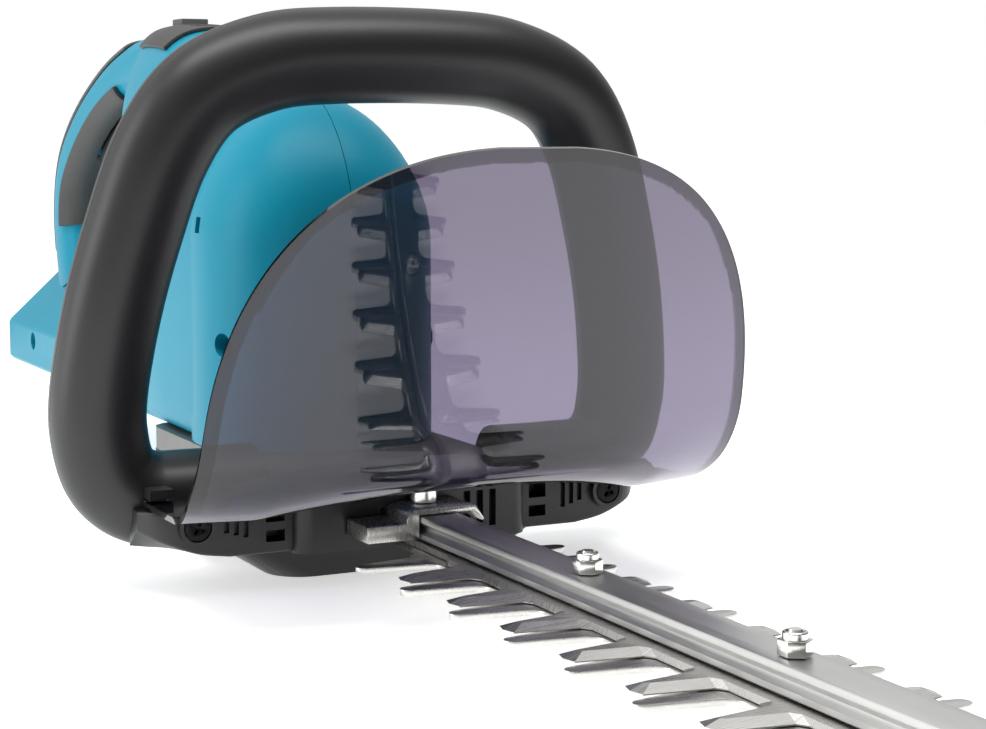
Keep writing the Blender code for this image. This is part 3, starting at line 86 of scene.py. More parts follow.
# guide bar and its screws
BAR_HALF = 7.25 * MM
BAR_HEIGHT = 8.1 * MM
BAR_LIFT = 0.5 * MM  # dark line between the bar and the upper blade
BAR_BOLT_PITCH = 3 * TOOTH_PITCH
BAR_BOLT_COUNT = 5
FIRST_BOLT_Y = FIRST_TOOTH_Y - 84.0 * MM
BRACKET_BOLT_Y = -71.0 * MM
BOLT_RADIUS = 2.5 * MM
BAR_REAR_Y = -46.0 * MM

# drive
GEAR_MODULE = 1.5 * MM
GEAR_TEETH = 42
PINION_TEETH = 9
GEAR_FACE = 6.0 * MM
GEAR_Z = 19.4 * MM
ECCENTRIC_RADIUS = 15.0 * MM
CRANK_SHAFT_RADIUS = 5.0 * MM
BEARING_OUTER = 11.0 * MM
BEARING_WIDTH = 5.0 * MM
MOTOR_RADIUS = 19.0 * MM
MOTOR_LENGTH = 57.0 * MM
MOTOR_SHAFT_RADIUS = 2.3 * MM

# under cover
BASE_HALF = 44.0 * MM
BASE_SHOULDER_HALF = 60.0 * MM
BASE_FRONT_Y = -50.0 * MM
BASE_REAR_Y = 98.0 * MM
CASE_FRONT_Y = -43.5 * MM
CASE_LOW_Z = 27.0 * MM
BASE_SHOULDER_Z = 11.6 * MM

# teal housing
HOUSING_BOTTOM_Z = 36.0 * MM
BARREL_RADIUS = 45.0 * MM
BARREL_Y = 31.9 * MM
BARREL_SIDES = 24
BODY_SIDES = 20
GRIP_SIDES = 12
DOME_START_Z = 113.0 * MM
DOME_HEIGHT = 55.0 * MM
RIDGE_Z = 197.5 * MM
BODY_REAR_Y = 188.0 * MM
FOOT_HALF = 37.5 * MM
FOOT_BOTTOM_Z = 35.0 * MM
FOOT_SIDE_TOP_Z = 56.0 * MM
FOOT_TOP_Z = 80.5 * MM
FOOT_TOP_HALF = 12.0 * MM
FOOT_FRONT_Y = 100.0 * MM
FOOT_REAR_Y = 358.0 * MM
GRIP_HALF = 17.5 * MM

# loop handle
LOOP_RADIUS = 16.4 * MM
LOOP_WALL = 3.0 * MM
LOOP_TOP_Z = 179.8 * MM
LOOP_BOTTOM_Z = 28.9 * MM
LOOP_LEAN = math.radians(7.5)
LOOP_FOOT_Y = -21.5 * MM  # where the loop's plane meets the base plane
PLINTH_FRONT_Y = -60.0 * MM
PLINTH_HALF = 89.0 * MM
NOSE_HALF = 44.0 * MM
LOOP_GATE = 47.5 * MM  # the loop's feet end here, either side of the gear case
BAR_PASSAGE_HALF = 13.5 * MM
LOOP_SIDES = 4  # facets round each half of the tube
LOOP_STEPS = 2  # path points between two knots
FRONT_LEVER_HALF = 42.0 * MM
FRONT_LEVER_TRAVEL = math.radians(8)
PLINTH_REAR_Y = -41.0 * MM
PLINTH_TOP_Z = 29.8 * MM
NOSE_TOP_Z = 33.4 * MM
PLINTH_BOTTOM_Z = 12.0 * MM
HANDLE_SCREW_X = 78.0 * MM
HANDLE_SCREW_Z = 24.1 * MM
SCREW_END_Y = -27.0 * MM

# guard
GUARD_THICK = 2.0 * MM
GUARD_HALF = 96.0 * MM
GUARD_TOP_Z = 150.0 * MM
GUARD_BEND = 45.0 * MM
GUARD_LEAN = math.radians(14.0)
GUARD_BOW = 340.0 * MM  # radius of the sideways bow
GUARD_ARCH = 7.0 * MM  # rise of the flange in the middle
GUARD_ARCH_HALF = 70.0 * MM

GUARD_REAR_Y = -48.5 * MM
GUARD_FOLD_Y = -91.0 * MM
GUARD_ROUND_Z = 45.0 * MM  # the sides start to round in above this
GUARD_POWER = 2.5
GUARD_FLANGE_HALF = 92.5 * MM

# battery slide
SLIDE_HALF = 31.0 * MM
SLIDE_FRONT_Y = 235.0 * MM
SLIDE_DEPTH = 11.0 * MM

# controls; outlines are (y, z) in side view
TRIGGER_PIVOT = (212.0 * MM, 175.5 * MM)
TRIGGER_OUTLINE = [
    (206.0 * MM, 167.0 * MM),
    (214.0 * MM, 163.5 * MM),
    (232.0 * MM, 154.0 * MM),
    (248.0 * MM, 143.5 * MM),
    (264.0 * MM, 138.5 * MM),
    (279.0 * MM, 137.0 * MM),
    (284.0 * MM, 140.5 * MM),
    (282.0 * MM, 145.5 * MM),
    (268.0 * MM, 152.5 * MM),
    (250.0 * MM, 161.0 * MM),
    (232.0 * MM, 169.0 * MM),
    (217.0 * MM, 179.0 * MM),
    (208.0 * MM, 179.0 * MM),
]
TRIGGER_SLOT = [
    (203.0 * MM, 181.0 * MM),
    (203.0 * MM, 150.0 * MM),
    (250.0 * MM, 125.0 * MM),
    (288.5 * MM, 125.0 * MM),
    (288.5 * MM, 156.0 * MM),
    (262.0 * MM, 170.0 * MM),
    (230.0 * MM, 180.0 * MM),
]
TRIGGER_PIN_RADIUS = 1.5 * MM
TRIGGER_PIN_REACH = 15.0 * MM
LOCK_OFF_BOX = ((-6.0 * MM, 163.0 * MM, 186.0 * MM), (6.0 * MM, 176.0 * MM, 201.5 * MM))

# housing screws: y, z and how far out the wall is there
HOUSING_SCREWS = (
    (13.6 * MM, 75.7 * MM, 42.0 * MM),
    (310.0 * MM, 48.5 * MM, FOOT_HALF),
    (110.0 * MM, 130.0 * MM, 42.5 * MM),
    (180.0 * MM, 60.0 * MM, FOOT_HALF - 2 * MM),
)
SCREW_SINK = 9.0 * MM

# ---------------------------------------------------------------- worked-out sizes
UPPER_BLADE_Z = LOWER_BLADE_Z + BLADE_THICK + GAP
BAR_Z = UPPER_BLADE_Z + BLADE_THICK + BAR_LIFT
BAR_TOP_Z = BAR_Z + BAR_HEIGHT
CRANK_REST = -math.pi / 4  # crank phase at rest, a quarter of the way through a stroke
BLADE_RATE = THROW / (math.pi / 2)  # travel per radian of crank
REST_SHIFT = BLADE_RATE * CRANK_REST  # upper blade's place at rest; the lower blade mirrors it
UPPER_LEAD = 2 * THROW + 2 * REST_SHIFT  # short teeth sit this far behind the long ones at rest
YOKE_SLACK = (math.sin(math.pi / 4) - 0.5) * THROW + GAP  # sine against the constant rate
YOKE_SLOT_HALF_X = THROW + ECCENTRIC_RADIUS + GAP
YOKE_SLOT_HALF_Y = ECCENTRIC_RADIUS + YOKE_SLACK
YOKE_RIM = 5.5 * MM
GEAR_PITCH_RADIUS = GEAR_MODULE * GEAR_TEETH / 2
PINION_PITCH_RADIUS = GEAR_MODULE * PINION_TEETH / 2
MOTOR_Y = GEAR_PITCH_RADIUS + PINION_PITCH_RADIUS
BEARING_TOP_Z = GEAR_Z + GEAR_FACE + 1.5 * MM
MOTOR_Z = HOUSING_BOTTOM_Z + 3.0 * MM
GUARD_FLANGE_Z = PLINTH_TOP_Z + GAP + GUARD_THICK / 2
BLADE_TIP_Y = FIRST_TOOTH_Y - (TOOTH_COUNT - 1) * TOOTH_PITCH - BLADE_NOSE
BOLT_YS = [FIRST_BOLT_Y - k * BAR_BOLT_PITCH for k in range(BAR_BOLT_COUNT)]

# ---------------------------------------------------------------- colours and nodes
GRAIN_PITCH = 0.45 * MM  # spark-eroded mould texture, drawn a little coarse so that it shows
BRUSH_PITCH = 0.35 * MM  # scratches left by grinding and drawing


def colour(hex_code):
    """sRGB hex to linear, with full alpha."""
    channels = [int(hex_code[i : i + 2], 16) / 255 for i in (1, 3, 5)]
    linear = [c / 12.92 if c <= 0.04045 else ((c + 0.055) / 1.055) ** 2.4 for c in channels]
    return (*linear, 1.0)


def node(tree, kind, settings=None, **links):
    """Adds a node; settings are its properties or socket values, links its inputs from other nodes."""
    made = tree.nodes.new(kind)
    for key, value in (settings or {}).items():
        if isinstance(key, str) and hasattr(made, key):
            setattr(made, key, value)
        else:
            made.inputs[key].default_value = value
    for key, source in links.items():
        socket = made.inputs[int(key[1:])] if key[0] == "i" and key[1:].isdigit() else made.inputs[key.replace("_", " ")]
        tree.links.new(source, socket)
    return made


def new_material(name, settings):
    """A Principled surface with its fixed values, and the tree to add its pattern to."""
    material = bpy.data.materials.new(name)
    material.use_nodes = True
    shader = material.node_tree.nodes["Principled BSDF"]
    for key, value in settings.items():
        shader.inputs[key].default_value = value
    return material, material.node_tree, shader


def place(tree):
    return node(tree, "ShaderNodeTexCoord").outputs["Object"]


def moulded(name, tint, dark_tint, roughness, spread, bump, grain=GRAIN_PITCH, shine=0.5):
    """Injection-moulded plastic: even colour with a slow drift, and a fine eroded grain in the gloss."""
    material, tree, shader = new_material(name, {"IOR": 1.53, "Specular IOR Level": shine})
    where = place(tree)
    drift = node(tree, "ShaderNodeTexNoise", {"Scale": 1 / (60 * MM), "Detail": 2.0}, Vector=where)
    grains = node(tree, "ShaderNodeTexNoise", {"Scale": 1 / grain, "Detail": 3.0, "Roughness": 0.6}, Vector=where)
    mix = node(tree, "ShaderNodeMix", {"data_type": "RGBA", 6: colour(dark_tint), 7: colour(tint)}, i0=drift.outputs[0])
    tree.links.new(mix.outputs[2], shader.inputs["Base Color"])
    gloss = node(
        tree,
        "ShaderNodeMapRange",
        {"From Min": 0.3, "From Max": 0.7, "To Min": roughness - spread, "To Max": roughness + spread},
        Value=grains.outputs[0],
    )
    tree.links.new(gloss.outputs[0], shader.inputs["Roughness"])
    relief = node(tree, "ShaderNodeBump", {"Strength": bump, "Distance": 0.05 * MM}, Height=grains.outputs[0])
    tree.links.new(relief.outputs[0], shader.inputs["Normal"])
    return material


def worked_metal(name, tint, dark_tint, roughness, spread, bump, stretch, pitch=BRUSH_PITCH):
    """Metal with fine lines left by its tool; stretch is how long they run along X, Y and Z."""
    material, tree, shader = new_material(name, {"Metallic": 1.0})
    where = place(tree)
    squeeze = node(tree, "ShaderNodeMapping", {"Scale": tuple(1 / s for s in stretch)}, Vector=where)
    lines = node(tree, "ShaderNodeTexNoise", {"Scale": 1 / pitch, "Detail": 4.0, "Roughness": 0.65}, Vector=squeeze.outputs[0])
    stain = node(tree, "ShaderNodeTexNoise", {"Scale": 1 / (25 * MM), "Detail": 3.0}, Vector=where)
    mix = node(tree, "ShaderNodeMix", {"data_type": "RGBA", 6: colour(dark_tint), 7: colour(tint)}, i0=stain.outputs[0])
    tree.links.new(mix.outputs[2], shader.inputs["Base Color"])
    gloss = node(
        tree,
        "ShaderNodeMapRange",
        {"From Min": 0.25, "From Max": 0.75, "To Min": roughness - spread, "To Max": roughness + spread},
        Value=lines.outputs[0],
    )
    tree.links.new(gloss.outputs[0], shader.inputs["Roughness"])
    relief = node(tree, "ShaderNodeBump", {"Strength": bump, "Distance": 0.04 * MM}, Height=lines.outputs[0])
    tree.links.new(relief.outputs[0], shader.inputs["Normal"])
    return material


# Glass-filled nylon 6, moulded in colour: satin, with a faint eroded texture.
TEAL_NYLON = moulded("teal_glass_filled_nylon", "#058CA6", "#04849E", 0.42, 0.05, 0.10, shine=0.18)
# The same nylon in black, with a coarser texture that breaks its highlights up.
BLACK_NYLON = moulded("black_glass_filled_nylon", "#171717", "#141415", 0.40, 0.06, 0.16)
# Overmoulded thermoplastic rubber: warm grey, matt, and it holds a little dust.
GREY_ELASTOMER = moulded("grey_overmoulded_elastomer", "#5E5D5B", "#565553", 0.66, 0.07, 0.28, grain=0.6 * MM)
# The same rubber in a darker grey: painted shade on the lining inside the grip's opening; the ridge panel uses it too.
DARK_ELASTOMER = moulded("dark_overmoulded_elastomer", "#343433", "#2C2C2B", 0.55, 0.07, 0.28, grain=0.6 * MM)
# Chemically blackened screws: dark, with an oily shine.
BLACK_OXIDE = worked_metal("black_oxide_steel", "#2A2A2B", "#1C1C1D", 0.34, 0.08, 0.12, (1, 1, 1))
# Nickel-plated spring steel, stamped and ground across the teeth: pale, with soft grinding lines.
BLADE_STEEL = worked_metal("ground_nickel_plated_steel", "#D9D8D4", "#C9C8C4", 0.30, 0.08, 0.25, (30, 1, 30))
# Extruded aluminium, drawn along the bar: long straight lines and a satin sheen.
BAR_ALUMINIUM = worked_metal("drawn_aluminium", "#CFCFCD", "#C2C2C0", 0.36, 0.09, 0.25, (1, 60, 1))
# Bright zinc plate on cold-headed steel: smooth and clean.
ZINC_PLATE = worked_metal("bright_zinc_plate", "#E6E6E2", "#D8D8D4", 0.20, 0.06, 0.08, (1, 1, 1))
# Bracket pressed from zinc-plated sheet; its sheared edges show vertical tearing.
SHEARED_ZINC = worked_metal("sheared_zinc_sheet", "#E4E4DF", "#CFCFC9", 0.28, 0.10, 0.9, (1, 1, 12), pitch=0.8 * MM)
# Die-cast aluminium alloy: dull mid grey with a pebbled skin.
CAST_ALLOY = worked_metal("die_cast_alloy", "#8C8C8A", "#7C7C7A", 0.55, 0.08, 0.35, (1, 1, 1), pitch=0.8 * MM)
# Silicon steel laminations, stacked along the shaft: dark, with thin rings.
CORE_STEEL = worked_metal("laminated_core_steel", "#5A5A5D", "#48484B", 0.45, 0.10, 0.5, (40, 40, 1), pitch=0.5 * MM)
# Tinned copper alloy blades in the battery socket.
COPPER_ALLOY = worked_metal("tinned_copper_alloy", "#D9A066", "#C98F57", 0.30, 0.08, 0.15, (1, 20, 1))


def smoked(name, tint, roughness):
    """Injection-moulded polycarbonate with a smoke tint: clear, glossy, IOR 1.585."""
    settings = {
        "Base Color": colour(tint),
        "Transmission Weight": 1.0,
        "IOR": 1.585,
        "Specular IOR Level": 0.3,
    }
    material, tree, shader = new_material(name, settings)
    haze = node(tree, "ShaderNodeTexNoise", {"Scale": 1 / (30 * MM), "Detail": 2.0}, Vector=place(tree))
    gloss = node(
        tree,
        "ShaderNodeMapRange",
        {"From Min": 0.3, "From Max": 0.7, "To Min": roughness, "To Max": roughness + 0.02},
        Value=haze.outputs[0],
    )
    tree.links.new(gloss.outputs[0], shader.inputs["Roughness"])
    return material


SMOKE_GUARD = smoked("smoked_polycarbonate", "#6F677D", 0.0)
# Light runs through more plastic along the turned edge, so it looks darker.
SMOKE_EDGE = smoked("smoked_polycarbonate_edge", "#3C3546", 0.0)


# ---------------------------------------------------------------- pieces from helper shapes
HELPERS = []


def link(name, mesh, material=None):
    """Adds a shape that pieces are made from; it is removed once they are."""
    if material:
        mesh.materials.clear()
        mesh.materials.append(material)
    obj = bpy.data.objects.new(f"{name}_shape", mesh)
    obj.hide_render = True
    bpy.context.scene.collection.objects.link(obj)
    HELPERS.append(obj)
    return obj


def finish_mesh(name, bm, material=None, smooth=True):
    bmesh.ops.recalc_face_normals(bm, faces=bm.faces)
    mesh = bpy.data.meshes.new(name)
    bm.to_mesh(mesh)
    bm.free()
    if smooth:
        mesh.shade_smooth()
        mesh.set_sharp_from_angle(angle=math.radians(35))
    return link(name, mesh, material)


def loft(name, rings, material=None, ring_closed=True):
    """Skins rings of equal length in turn and caps both ends."""
    bm = bmesh.new()
    rows = [[bm.verts.new(point) for point in ring] for ring in rings]
    count = len(rows[0])
    for low, high in zip(rows, rows[1:]):
        for i in range(count):
            j = (i + 1) % count
            bm.faces.new((low[i], low[j], high[j], high[i]))
    bm.faces.new(rows[0])
    bm.faces.new(rows[-1])
    return finish_mesh(name, bm, material)


def plate(name, outline, low, high, material=None, top_outline=None):
    """A flat piece in XY; a second outline of the same length makes its flanks slope."""
    top = top_outline or outline
    rings = [[(x, y, low) for x, y in outline], [(x, y, high) for x, y in top]]
    return loft(name, rings, material)


def slab(name, lows, highs, material=None):
    """A rectangular block between two corners."""
    bm = bmesh.new()
    bmesh.ops.create_cube(bm, size=1.0)
    lows, highs = Vector(lows), Vector(highs)
    size = highs - lows
    bmesh.ops.scale(bm, vec=size, verts=bm.verts)
    bmesh.ops.translate(bm, vec=(lows + highs) / 2, verts=bm.verts)
    return finish_mesh(name, bm, material, smooth=False)


def rod(name, radius, start, end, material=None, sides=20, end_radius=None):
    """A cylinder, or a cone where end_radius is given, between two points."""
    start, end = Vector(start), Vector(end)
    along = end - start
    bm = bmesh.new()
    last = radius if end_radius is None else end_radius
    bmesh.ops.create_cone(
        bm, cap_ends=True, segments=sides, radius1=radius, radius2=last, depth=along.length
    )
    turn = along.to_track_quat("Z", "Y").to_matrix().to_4x4()
    bmesh.ops.transform(bm, matrix=Matrix.Translation((start + end) / 2) @ turn, verts=bm.verts)
    return finish_mesh(name, bm, material)


def boolean(obj, other, operation):
    """Joins, cuts or keeps the overlap with another object, which then becomes a helper."""
    step = obj.modifiers.new(operation.lower(), "BOOLEAN")
    step.operation = operation
    step.solver = "EXACT"
    step.object = other
    return obj


def cut(obj, *cutters):
    for cutter in cutters:
        boolean(obj, cutter, "DIFFERENCE")
    return obj


def join(obj, *others):
    for other in others:
        boolean(obj, other, "UNION")
    return obj


def keep_inside(obj, other):
    return boolean(obj, other, "INTERSECT")


def evaluated_mesh(obj):
    bpy.context.view_layer.update()
    graph = bpy.context.evaluated_depsgraph_get()
    return bpy.data.meshes.new_from_object(obj.evaluated_get(graph))


def tidy_mesh(mesh, sharp=35):
    """Merges doubled points and shades smooth, with an edge wherever the surface turns sharply."""
    bm = bmesh.new()
    bm.from_mesh(mesh)
    bmesh.ops.remove_doubles(bm, verts=bm.verts, dist=0.004 * MM)
    bmesh.ops.dissolve_degenerate(bm, edges=bm.edges, dist=0.004 * MM)
    bm.to_mesh(mesh)
    bm.free()
    mesh.shade_smooth()
    mesh.set_sharp_from_angle(angle=math.radians(sharp))
    return mesh


def piece(name, shape, material, body, slot, *nodes, bevel=0.0, sharp=35):
    """A finished piece: rides on a body and stands for CAD nodes."""
    if bevel:
        round_edges(shape, bevel)
    mesh = tidy_mesh(evaluated_mesh(shape), sharp)
    mesh.materials.clear()
    mesh.materials.append(material)
    obj = bpy.data.objects.new(name, mesh)
    bpy.context.scene.collection.objects.link(obj)
    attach(obj, body)
    if nodes:
        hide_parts(*nodes)
    return obj


def clear_helpers():
    for obj in HELPERS:
        bpy.data.objects.remove(obj, do_unlink=True)
    HELPERS.clear()


def mirrored_shape(name, shape):
    """The same shape for the other side of the middle plane."""
    bm = bmesh.new()
    bm.from_mesh(tidy_mesh(evaluated_mesh(shape)))
    bmesh.ops.scale(bm, vec=(-1, 1, 1), verts=bm.verts)
    return finish_mesh(name, bm)


def round_edges(obj, width, segments=2, angle=40):
    step = obj.modifiers.new("rounded", "BEVEL")
    step.width = width
    step.segments = segments
    step.limit_method = "ANGLE"
    step.angle_limit = math.radians(angle)
    step.use_clamp_overlap = True
    return obj


# ---------------------------------------------------------------- outlines
def superellipse(half_a, half_b, power, angle):
    """2 is an ellipse, larger powers are boxier."""
    c, s = math.cos(angle), math.sin(angle)
    a = math.copysign(abs(c) ** (2 / power), c) * half_a
    b = math.copysign(abs(s) ** (2 / power), s) * half_b
    return a, b


def full_turn(count):
    return [2 * math.pi * i / count for i in range(count)]


def oval(half_a, half_b, power, count):
    return [superellipse(half_a, half_b, power, angle) for angle in full_turn(count)]


def arc(centre, radius, start, end, steps):
    """Points along an arc, angles in degrees."""
    points = []
    for i in range(steps + 1):
        angle = math.radians(start + (end - start) * i / steps)
        points.append((centre[0] + radius * math.cos(angle), centre[1] + radius * math.sin(angle)))
    return points


def rounded_box(low, high, radius, steps=3):
    """A rectangle with round corners, anticlockwise."""
    (x0, y0), (x1, y1) = low, high
    r = radius
    corners = [((x1 - r, y0 + r), -90), ((x1 - r, y1 - r), 0), ((x0 + r, y1 - r), 90), ((x0 + r, y0 + r), 180)]
    points = []
    for centre, start in corners:
        points += arc(centre, r, start, start + 90, steps)
    return points


def smooth_path(points, steps):
    """A Catmull-Rom curve through the points."""
    knots = [Vector(p) for p in points]
    ends = [2 * knots[0] - knots[1]] + knots + [2 * knots[-1] - knots[-2]]
    path = []
    for a, b, c, d in zip(ends, ends[1:], ends[2:], ends[3:]):
        for i in range(steps):
            t = i / steps
            path.append(
                0.5 * ((2 * b) + (c - a) * t + (2 * a - 5 * b + 4 * c - d) * t**2 + (3 * b - a - 3 * c + d) * t**3)
            )
    path.append(knots[-1])
    return path


def mirrored_outline(right_side):
    """Closes an outline given down its right side by its mirror image."""
    return right_side + [(-x, y) for x, y in reversed(right_side)]


# ---------------------------------------------------------------- blades
def long_tooth(y, spine):
    """Right-hand edge of one blunt tooth with a round tip, rear to front."""
    root = 6.4 * MM
    tip = 2.9 * MM
    reach = LONG_TOOTH_REACH
    foot = [(spine, y + root + 4.5 * MM), (spine + 1.2 * MM, y + root + 1.6 * MM), (spine + 3.4 * MM, y + root - 0.4 * MM)]
    end = arc((reach - tip, y), tip, 80, -80, 8)
    return foot + end + [(x, 2 * y - far) for x, far in reversed(foot)]


def short_tooth(y, spine, shrink):
    """Right-hand edge of one ground tooth; shrink is how far its top land sits inside its edge."""
    root = 7.6 * MM - shrink
    tip = 5.6 * MM - shrink
    reach = SHORT_TOOTH_REACH - shrink
    return [
        (spine, y + root + 3.0 * MM),
        (spine + 2.0 * MM, y + root),
        (reach - 1.2 * MM, y + tip * 0.8),
        (reach, y),
        (reach - 1.2 * MM, y - tip * 0.8),
        (spine + 2.0 * MM, y - root),
        (spine, y - root - 3.0 * MM),
    ]


def blade_outline(tooth, first, count, spine, yoke_y, tip_y):
    """Whole blade: yoke, neck, toothed spine and nose."""
    outer_x = YOKE_SLOT_HALF_X + YOKE_RIM
    outer_y = YOKE_SLOT_HALF_Y + YOKE_RIM
    corner = 9.0 * MM
    side = arc((outer_x - corner, yoke_y + outer_y - corner), corner, 90, 0, 3)
    side += arc((outer_x - corner, yoke_y - outer_y + corner), corner, 0, -90, 3)
    side.append((NECK_HALF, yoke_y - outer_y))
    side.append((NECK_HALF, first + 21.0 * MM))
    side.append((spine, first + 14.0 * MM))
    for n in range(count):
        side += tooth(first - n * TOOTH_PITCH, spine)
    side.append((spine, tip_y + 9.0 * MM))
    side.append((spine * 0.75, tip_y + 2.0 * MM))
    side.append((spine * 0.35, tip_y))
    return mirrored_outline(side)


def slot_cutter(name, y_low, y_high, half, z_low, z_high):
    """A round-ended slot along Y."""
    outline = arc((0, y_high - half), half, 0, 180, 10) + arc((0, y_low + half), half, 180, 360, 10)
    return plate(name, outline, z_low, z_high)


def cut_blade(blade, name, shift, low):
    """Slots for the bolts, long enough for the whole stroke, and the yoke's slot."""
    back = THROW - shift
    front = THROW + shift
    half = BOLT_RADIUS + GAP
    z_low, z_high = low - BLADE_THICK, low + 2 * BLADE_THICK
    for index, y in enumerate([BRACKET_BOLT_Y] + BOLT_YS):
        cut(blade, slot_cutter(f"{name}_slot_{index}", y - back - half, y + front + half, half, z_low, z_high))
    yoke = oval(YOKE_SLOT_HALF_X, YOKE_SLOT_HALF_Y, 4.0, 48)
    cut(blade, plate(f"{name}_yoke_slot", [(x, y + shift) for x, y in yoke], z_low, z_high))
    return blade


def make_blades():
    shift = -REST_SHIFT
    outline = blade_outline(long_tooth, FIRST_TOOTH_Y, TOOTH_COUNT, LOWER_SPINE_HALF, shift, BLADE_TIP_Y)
    lower = cut_blade(plate("lower", outline, LOWER_BLADE_Z, LOWER_BLADE_Z + BLADE_THICK), "lower", shift, LOWER_BLADE_Z)
    piece("blunt_tooth_blade", lower, BLADE_STEEL, "lower_blade_body", "blade_steel", "lower_blade", bevel=0.35 * MM)
    shift = REST_SHIFT
    ground = 4.2 * MM  # how far each tooth's edge is ground back
    first = FIRST_TOOTH_Y + UPPER_LEAD - TOOTH_PITCH
    tip_y = BLADE_TIP_Y + 10.0 * MM
    edge = blade_outline(lambda y, s: short_tooth(y, s, 0.0), first, TOOTH_COUNT - 1, UPPER_SPINE_HALF, shift, tip_y)
    land = blade_outline(
        lambda y, s: short_tooth(y, s, ground), first, TOOTH_COUNT - 1, UPPER_SPINE_HALF - 0.6 * MM, shift, tip_y + 0.6 * MM
    )
    low = UPPER_BLADE_Z
    rings = [[(x, y, z) for x, y in line] for line, z in ((edge, low), (edge, low + 0.35 * MM), (land, low + BLADE_THICK))]
    upper = cut_blade(loft("upper", rings), "upper", shift, low)
    piece("ground_tooth_blade", upper, BLADE_STEEL, "upper_blade_body", "blade_steel", "upper_blade", sharp=12)


# ---------------------------------------------------------------- guide bar and fasteners
def make_guide_bar():
    """Extruded bar with a shallow cove down each side."""
    w, h = BAR_HALF, BAR_HEIGHT
    cove = 1.6 * MM
    depth = [math.sin(math.pi * i / 8) for i in range(9)]
    middle = [(w - cove * d, h * (0.26 + 0.48 * i / 8)) for i, d in enumerate(depth)]
    right = [(w - 1.2 * MM, 0), (w - 0.3 * MM, 0.1 * MM), (w, 0.5 * MM)] + middle
    right += [(w, h - 0.7 * MM), (w - 0.2 * MM, h - 0.2 * MM), (w - 0.7 * MM, h)]
    section = right + [(-x, z) for x, z in reversed(right)]
    rings = [[(x, y, BAR_Z + z) for x, z in section] for y in (BAR_REAR_Y, BLADE_TIP_Y + 8.0 * MM)]
    bar = loft("bar", rings)
    for index, y in enumerate([BRACKET_BOLT_Y] + BOLT_YS):
        cut(bar, rod(f"bar_hole_{index}", BOLT_RADIUS + GAP, (0, y, BAR_Z - 2 * MM), (0, y, BAR_TOP_Z + 2 * MM), sides=32))
    piece("guide_bar_extrusion", bar, BAR_ALUMINIUM, "body", "blade_steel", "guide_bar", sharp=25)


def domed_rod(name, radius, y, low, high, dome, sides=32):
    """A pin with a rounded end, standing on Z."""
    steps = 5
    rings = [[(radius * math.cos(a), y + radius * math.sin(a), low) for a in full_turn(sides)]]
    for i in range(steps + 1):
        turn = math.pi / 2 * i / steps * 0.86
        r = radius - dome * (1 - math.cos(turn))
        rings.append([(r * math.cos(a), y + r * math.sin(a), high - dome * (1 - math.sin(turn))) for a in full_turn(sides)])
    return loft(name, rings)


def make_bolt(name, node_name, y, top_z):
    """Cold-headed screw: a low round head underneath and a chamfered thread end above."""
    low = LOWER_BLADE_Z - GAP
    head = domed_rod(f"{name}_head", 4.6 * MM, y, low - 3.2 * MM, low, 0.5 * MM)
    socket = rod(f"{name}_socket", 2.2 * MM, (0, y, low - 4 * MM), (0, y, low - 1.4 * MM), sides=6)
    rings = []
    pitch = 0.8 * MM
    z = low - MM
    flip = 0
    while z < top_z - 0.6 * MM:
        radius = BOLT_RADIUS - (0.28 * MM if flip else 0)
        rings.append([(radius * math.cos(a), y + radius * math.sin(a), z) for a in full_turn(32)])
        z += pitch / 2
        flip = 1 - flip
    rings.append([((BOLT_RADIUS - 0.7 * MM) * math.cos(a), y + (BOLT_RADIUS - 0.7 * MM) * math.sin(a), top_z) for a in full_turn(32)])
    shape = cut(join(head, loft(f"{name}_thread", rings)), socket)
    piece(name, shape, ZINC_PLATE, "body", "zinc_steel", node_name, sharp=30)


def make_lock_nut(name, node_name, y):
    """Hexagon nut with chamfered corners, and the lower collar that grips the thread."""
    low = BAR_TOP_Z + GAP
    top = low + 4.2 * MM
    hexagon = rod(f"{name}_hexagon", 4.6 * MM, (0, y, low), (0, y, top), sides=6)
    collar = domed_rod(f"{name}_collar", 3.35 * MM, y, low + 3.4 * MM, low + 6.2 * MM, 0.5 * MM)
    bore = rod(f"{name}_bore", BOLT_RADIUS + 0.1 * MM, (0, y, low - MM), (0, y, low + 8 * MM), sides=32)
    shape = cut(join(round_edges(hexagon, 0.35 * MM), collar), bore)
    piece(name, shape, ZINC_PLATE, "body", "zinc_steel", node_name, sharp=30)


def make_bar_fasteners():
    for index, y in enumerate(BOLT_YS, 1):
        make_bolt(f"blade_screw_{index}", f"bar_bolt_{index}", y, BAR_TOP_Z + 7.0 * MM)
        make_lock_nut(f"lock_nut_{index}", f"bar_nut_{index}", y)


